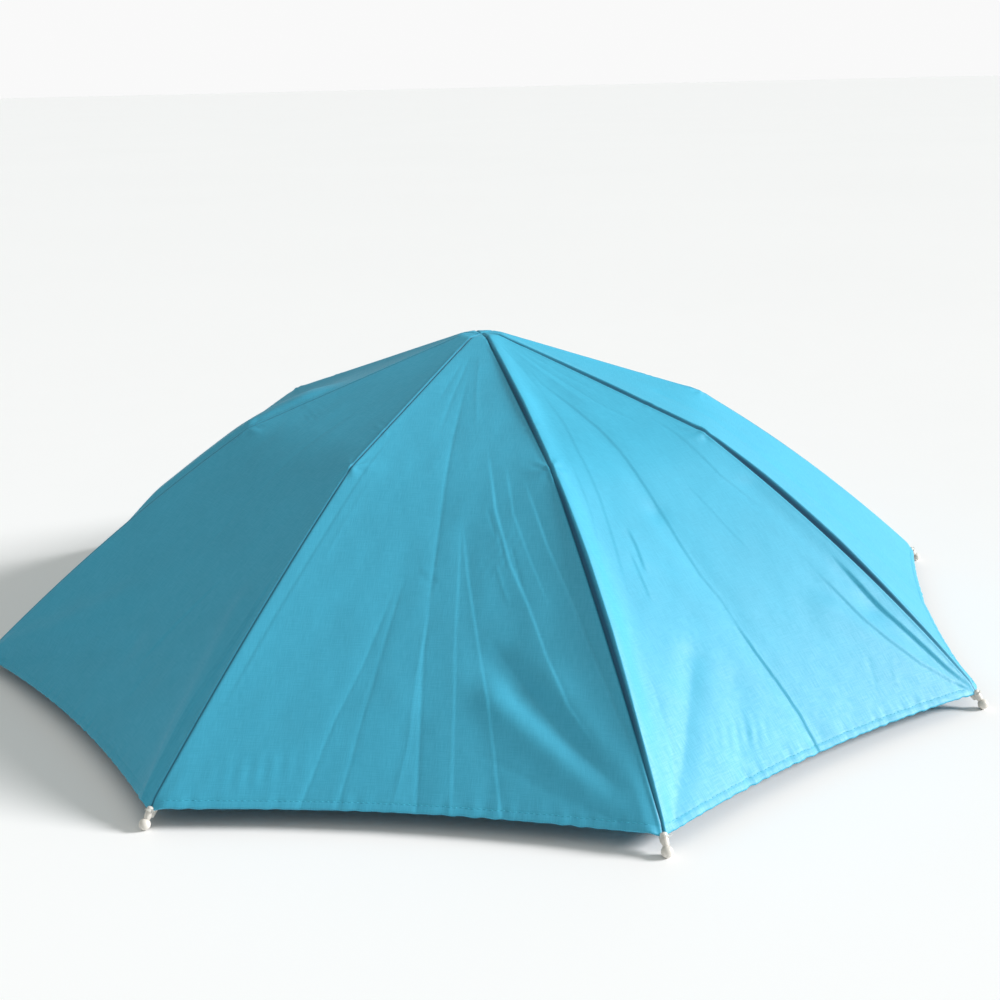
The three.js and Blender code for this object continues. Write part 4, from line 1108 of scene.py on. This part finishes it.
def make_stitches(gore):
    count = int((flat_width - 2 * STITCH_MARGIN) // (STITCH + STITCH_GAP))
    vertices, faces = [], []
    random = np.random.default_rng(gore)
    for index in range(count):
        begin = STITCH_MARGIN + index * (STITCH + STITCH_GAP) + random.uniform(-0.15, 0.15)
        share = np.linspace(0, 1, 5)
        across = (begin + share * STITCH) / flat_width
        down = np.full(5, 1 - (STITCH_UP + random.uniform(-0.12, 0.12)) / rib_length)
        place, out, _ = cloth_surface(gore, across, down)
        place = place + (STITCH_ARCH * np.sin(math.pi * share) - STITCH_SINK)[:, None] * out
        ring, sides = strand(place, out[2], THREAD_RADIUS)
        faces += [tuple(len(vertices) * len(ring) + i for i in side) for side in sides]
        vertices.append(ring)
    return mesh_object(f"hem_stitches_{gore}", np.concatenate(vertices), faces, sewing_thread)


stitches = [make_stitches(n) for n in range(1, RIB_COUNT + 1)]
for row in stitches:
    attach(row, "root")
print("stitch faces:", sum(len(row.data.polygons) for row in stitches))

# %% [markdown]
# ## Ball tips
# Each rib ends in an off-white moulded tip. A lower sleeve lies over the rod. An upper sleeve slopes
# down over the cloth's corner to a narrow neck and a ball. Both are turned forms, so each has one
# section that is spun. A few turns of thread tie the corner of the cloth to the tip.

# %% Ball tips
TIP_DEPTH, BALL_AT, BALL_RADIUS = 4.4, 6.0, 2.99
SLEEVE_START, SLEEVE_RISE_AT_START, SLEEVE_RISE_AT_BALL = -2.0, 2.7, 0.9
TURNED_SIDES = 28
# share of the way from the sleeve's start to the ball's middle, and radius in mm
SLEEVE_SECTION = [
    (0.0, 0.3), (0.008, 0.95), (0.03, 1.5), (0.07, 1.82), (0.13, 1.95), (0.45, 2.0), (0.58, 1.92),
    (0.68, 1.6), (0.73, 1.42), (0.77, 1.40),
]
BALL_ANGLES = [28, 40, 55, 70, 85, 100, 115, 130, 145, 160, 172, 179.5]  # from the neck, degrees
# distance out from the cloth's corner on the rod's line, and radius, both in mm
ROD_SLEEVE = [(-8.0, 1.35), (-7.8, 1.62), (-7.3, 1.75), (1.6, 1.75), (2.3, 1.6), (2.6, 1.2)]


def tip_frame(rib):
    """Corner of the cloth on the rod's line, and the three directions of the tip."""
    along = np.array([rib_length - 1.0, rib_length])
    radius, drop, _ = rib_profile(along)
    slope, bearing = eased_slope(along), rib_bearing(rib, along)
    reach = radius - TIP_DEPTH * np.sin(slope)
    line = np.stack([reach * np.cos(bearing), reach * np.sin(bearing),
                     crown_z - drop - TIP_DEPTH * np.cos(slope)], axis=-1)
    ahead = line[1] - line[0]
    ahead /= np.linalg.norm(ahead)
    beside = np.array([-math.sin(bearing[1]), math.cos(bearing[1]), 0.0])
    beside -= ahead * beside.dot(ahead)
    beside /= np.linalg.norm(beside)
    return line[1], ahead, beside, np.cross(ahead, beside)


def tip_line(rib):
    """Start and end of the tip's own line: it leaves the rod and comes up over the cloth's corner."""
    corner, ahead, beside, over = tip_frame(rib)
    end = corner + SLEEVE_RISE_AT_BALL * over
    end += ahead * (BALL_AT - SLEEVE_RISE_AT_BALL * over[2] / ahead[2])
    start = corner + SLEEVE_START * ahead + SLEEVE_RISE_AT_START * over
    return start, end, beside


def spun(start, ahead, beside, sections, first):
    """A closed form turned about a line. Its faces count their points from first on."""
    over = np.cross(beside, ahead)
    angles = np.linspace(0, 2 * math.pi, TURNED_SIDES, endpoint=False)
    round_about = np.cos(angles)[:, None] * beside + np.sin(angles)[:, None] * over
    vertices = np.concatenate([start + out * ahead + radius * round_about for out, radius in sections])
    faces = []
    for ring in range(len(sections) - 1):
        for k in range(TURNED_SIDES):
            a, b = first + ring * TURNED_SIDES + k, first + ring * TURNED_SIDES + (k + 1) % TURNED_SIDES
            faces.append((a, a + TURNED_SIDES, b + TURNED_SIDES, b))
    last = first + len(vertices)
    faces.append(tuple(range(first, first + TURNED_SIDES)))
    faces.append(tuple(range(last - TURNED_SIDES, last))[::-1])
    return vertices, faces


def make_tip(rib):
    start, end, beside = tip_line(rib)
    length = np.linalg.norm(end - start)
    sections = [(share * length, radius) for share, radius in SLEEVE_SECTION]
    for angle in np.radians(BALL_ANGLES):
        sections.append((length - BALL_RADIUS * math.cos(angle), BALL_RADIUS * math.sin(angle)))
    upper, upper_faces = spun(start, (end - start) / length, beside, sections, 0)
    corner, ahead, beside, _ = tip_frame(rib)
    lower, lower_faces = spun(corner, ahead, beside, ROD_SLEEVE, len(upper))
    return mesh_object(
        f"ball_tip_{rib}", np.concatenate([upper, lower]), upper_faces + lower_faces, white_plastic)


tips = [make_tip(n) for n in range(1, RIB_COUNT + 1)]
for n, tip in enumerate(tips, start=1):
    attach(tip, "root")
    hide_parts(f"rib_tip_{n}")
print("first corner of tip 1's box:", [round(float(c) / MM, 1) for c in tips[0].bound_box[0]])

# %% Thread that ties the corners
TIE_TURNS, TIE_RADIUS, TIE_UP, LOOP_UP = 3, 2.06, 3.0, 3.4
RING_THREAD, LOOP_THREAD = 0.14, 0.2


def make_corner_tie(rib):
    corner, ahead, beside, over = tip_frame(rib)
    vertices, faces = [], []

    def add_strand(points, outward, radius):
        ring, sides = strand(points, outward, radius)
        base = sum(len(v) for v in vertices)
        faces.extend(tuple(base + i for i in face) for face in sides)
        vertices.append(ring)

    turns = np.linspace(0, TIE_TURNS * 2 * math.pi, 60)
    advance = (0.2 + turns * 0.05 + 0.12 * np.sin(turns * 0.7))[:, None] * ahead
    rings = TIE_RADIUS * (np.cos(turns)[:, None] * beside + np.sin(turns)[:, None] * over)
    add_strand(corner + TIE_UP * over + advance + rings, ahead, RING_THREAD)
    share = np.linspace(0, 1, 14)[:, None]
    loop = (1.9 + 1.8 * np.sin(math.pi * share)) * beside + (1.4 * share - 0.6) * ahead
    add_strand(corner + LOOP_UP * over + loop, over, LOOP_THREAD)
    return mesh_object(f"corner_tie_{rib}", np.concatenate(vertices), faces, white_thread)


for n in range(1, RIB_COUNT + 1):
    tie = make_corner_tie(n)
    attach(tie, "root")
print("corner ties:", RIB_COUNT)

# %% [markdown]
# ## The padded headband
# The band is a foam strip covered with knit, sewn along both edges. Its section starts as a thin
# loop. Blender's cloth with a little pressure then blows it up between the sewn edges, which
# are pinned, as the foam does. How far a point may move is capped, so that the band stays
# clear of the arms inside it.

# %% Headband before the padding
BAND_HALF_WIDTH, BAND_HALF_LENGTH, BAND_THICKNESS, BAND_HEIGHT = 78.0, 98.0, 3.0, 30.0
BAND_BELOW_CROWN = 152.0
FOAM_HALF, SEWN_HALF = 1.05, 0.55  # half the band's thickness inside and at its sewn edges
BAND_MEAN_RADIUS, INNER_FACE_OFFSET = 88, 40  # for its flat coordinates
AROUND, UP_ROWS = 300, 14
band_middle = crown_z - BAND_BELOW_CROWN


def band_grid():
    angles = np.linspace(0, 2 * math.pi, AROUND, endpoint=False)
    middle = BAND_THICKNESS / 2
    half_sizes = np.array([BAND_HALF_WIDTH, BAND_HALF_LENGTH])
    circle = np.stack([np.cos(angles), np.sin(angles)], -1)
    centre, out = (half_sizes - middle) * circle, circle / half_sizes
    out /= np.linalg.norm(out, axis=1)[:, None]
    heights = np.linspace(-BAND_HEIGHT / 2, BAND_HEIGHT / 2, UP_ROWS)
    section = [(1.0, h) for h in heights] + [(-1.0, h) for h in heights[::-1]]
    rings = []
    for face, height in section:
        half = FOAM_HALF if abs(height) < BAND_HEIGHT / 2 - 0.1 else SEWN_HALF
        ring = centre + face * half * out
        rings.append(np.column_stack([ring, np.full(AROUND, band_middle + height)]))
    return np.stack(rings), out, section


band_rings, band_out, band_section = band_grid()
ring_count = len(band_section)
band_faces = []
for r in range(ring_count):
    for k in range(AROUND):
        a, b = r * AROUND + k, r * AROUND + (k + 1) % AROUND
        n = ((r + 1) % ring_count) * AROUND
        band_faces.append((a, b, n + (k + 1) % AROUND, n + k))
turn_share = np.arange(AROUND) / AROUND
band_flat = np.concatenate([
    np.column_stack([
        turn_share * 2 * math.pi * BAND_MEAN_RADIUS,
        np.full(AROUND, height + (INNER_FACE_OFFSET if face < 0 else 0)),
    ]) for face, height in band_section
])
headband = mesh_object("padded_headband", band_rings.reshape(-1, 3), band_faces, band_knit, band_flat)
print("band faces before padding:", len(band_faces))

# %% Headband padding
PAD_OUTWARD, PAD_INWARD = 1.5, 0.3  # caps on the simulated movement, in mm
FOAM_OUTWARD, FOAM_INWARD, FOAM_UNEVENNESS = 0.9, 0.2, 0.10
SEWN_BORDER, PAD_STEPS = 2.4, 20


def inflate(piece):
    held = piece.vertex_groups.new(name="sewn_edges")
    heights = np.array([v.co.z for v in piece.data.vertices]) / MM - band_middle
    sewn = np.abs(np.abs(heights) - BAND_HEIGHT / 2) < SEWN_BORDER
    held.add(np.nonzero(sewn)[0].tolist(), 1.0, "REPLACE")
    cloth = piece.modifiers.new("padding", "CLOTH")
    cloth.settings.vertex_group_mass = "sewn_edges"
    cloth.settings.use_pressure = True
    cloth.settings.uniform_pressure_force = 4.0
    cloth.settings.tension_stiffness = 12
    cloth.settings.compression_stiffness = 12
    cloth.settings.bending_stiffness = 0.4
    cloth.settings.effector_weights.gravity = 0.0
    for step in range(1, PAD_STEPS + 1):
        bpy.context.scene.frame_set(step)
    solved = bpy.data.meshes.new_from_object(piece.evaluated_get(bpy.context.evaluated_depsgraph_get()))
    after = np.array([v.co[:] for v in solved.vertices]) / MM
    piece.modifiers.remove(cloth)
    bpy.data.meshes.remove(solved)
    bpy.context.scene.frame_set(1)
    return after


before = band_rings.reshape(-1, 3)
after = inflate(headband)
moved = after - before
outwards = np.tile(band_out, (ring_count, 1))
radial = (moved[:, :2] * outwards).sum(axis=1)
random = np.random.default_rng(5)
turn = np.tile(turn_share * 2 * math.pi, ring_count)
soft = sum(
    random.uniform(0.3, 1.0)
    * np.cos(round(random.uniform(9, 60)) * turn + random.uniform(0, 6.3))
    for _ in range(10)
) / 5
height_share = 1 - (2 * (before[:, 2] - band_middle) / BAND_HEIGHT) ** 2
radial = np.clip(radial, -PAD_INWARD, PAD_OUTWARD) + FOAM_UNEVENNESS * soft * height_share
side = np.repeat([face for face, _ in band_section], AROUND)
radial = np.where(
    side > 0, np.maximum(radial, FOAM_OUTWARD * height_share),
    np.minimum(radial, -FOAM_INWARD * height_share),
)
padded_points = before.copy()
padded_points[:, :2] += radial[:, None] * outwards
for vertex, point in zip(headband.data.vertices, padded_points):
    vertex.co = point * MM
print("the cloth moved the band by up to", round(float(np.abs(moved).max()), 2), "mm")

# %% Headband finish
rounding = headband.modifiers.new("rounding", "SUBSURF")
rounding.levels = rounding.render_levels = 1
smoother = bpy.data.meshes.new_from_object(headband.evaluated_get(bpy.context.evaluated_depsgraph_get()))
headband.modifiers.clear()
headband.data = smoother
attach(headband, "root")
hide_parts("headband")
print("band faces:", len(smoother.polygons))

# %% [markdown]
# ## Finishes for the frame
# The ribs, stretchers, shaft, hub, runner, plate and arms keep the part's own shapes. They only
# get their finishes, by the slots of their objects.

# %% Finishes for the frame
STEEL_NODES = ("inner_rib", "outer_rib", "stretcher", "shaft")
PLASTIC_NODES = ("crown_hub", "runner", "crown_plate", "crown_arm")
finished = []
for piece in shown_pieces():
    node = piece.get("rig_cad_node")
    if node is None or not node.startswith(STEEL_NODES + PLASTIC_NODES):
        continue
    for slot in piece.material_slots:
        slot.link = "OBJECT"
        slot.material = brushed_steel if node.startswith(STEEL_NODES) else black_plastic
    finished.append(node)
print("carried-over nodes with a finish:", len(finished))

# %% [markdown]
# ## The floor
# A wide pale floor stands under the ball tips. Its material has a very soft variation and a
# matt, slightly uneven gloss, so that it doesn't look like bare white.

# %% Floor
pale_floor, tree, shader = new_material("pale_floor", Roughness=0.6, Specular_IOR_Level=0.3)
floor_tone = use_group(
    tree, mottle, Place=place_of(tree), Color=(0.95, 0.95, 0.95, 1), Size=900.0, Amount=0.03)
floor_grain = use_group(tree, grain, Place=place_of(tree), Size=3.0, Roughness=0.6, Variation=0.08)
connect(tree, shader, floor_tone.outputs["Color"], floor_grain.outputs["Roughness"])
FLOOR_HALF = 60000.0
floor = mesh_object(
    "floor", [(x * FLOOR_HALF, y * FLOOR_HALF, 0) for x, y in ((-1, -1), (1, -1), (1, 1), (-1, 1))],
    [(0, 1, 2, 3)], pale_floor,
)
print("floor is", 2 * FLOOR_HALF * MM, "m wide")
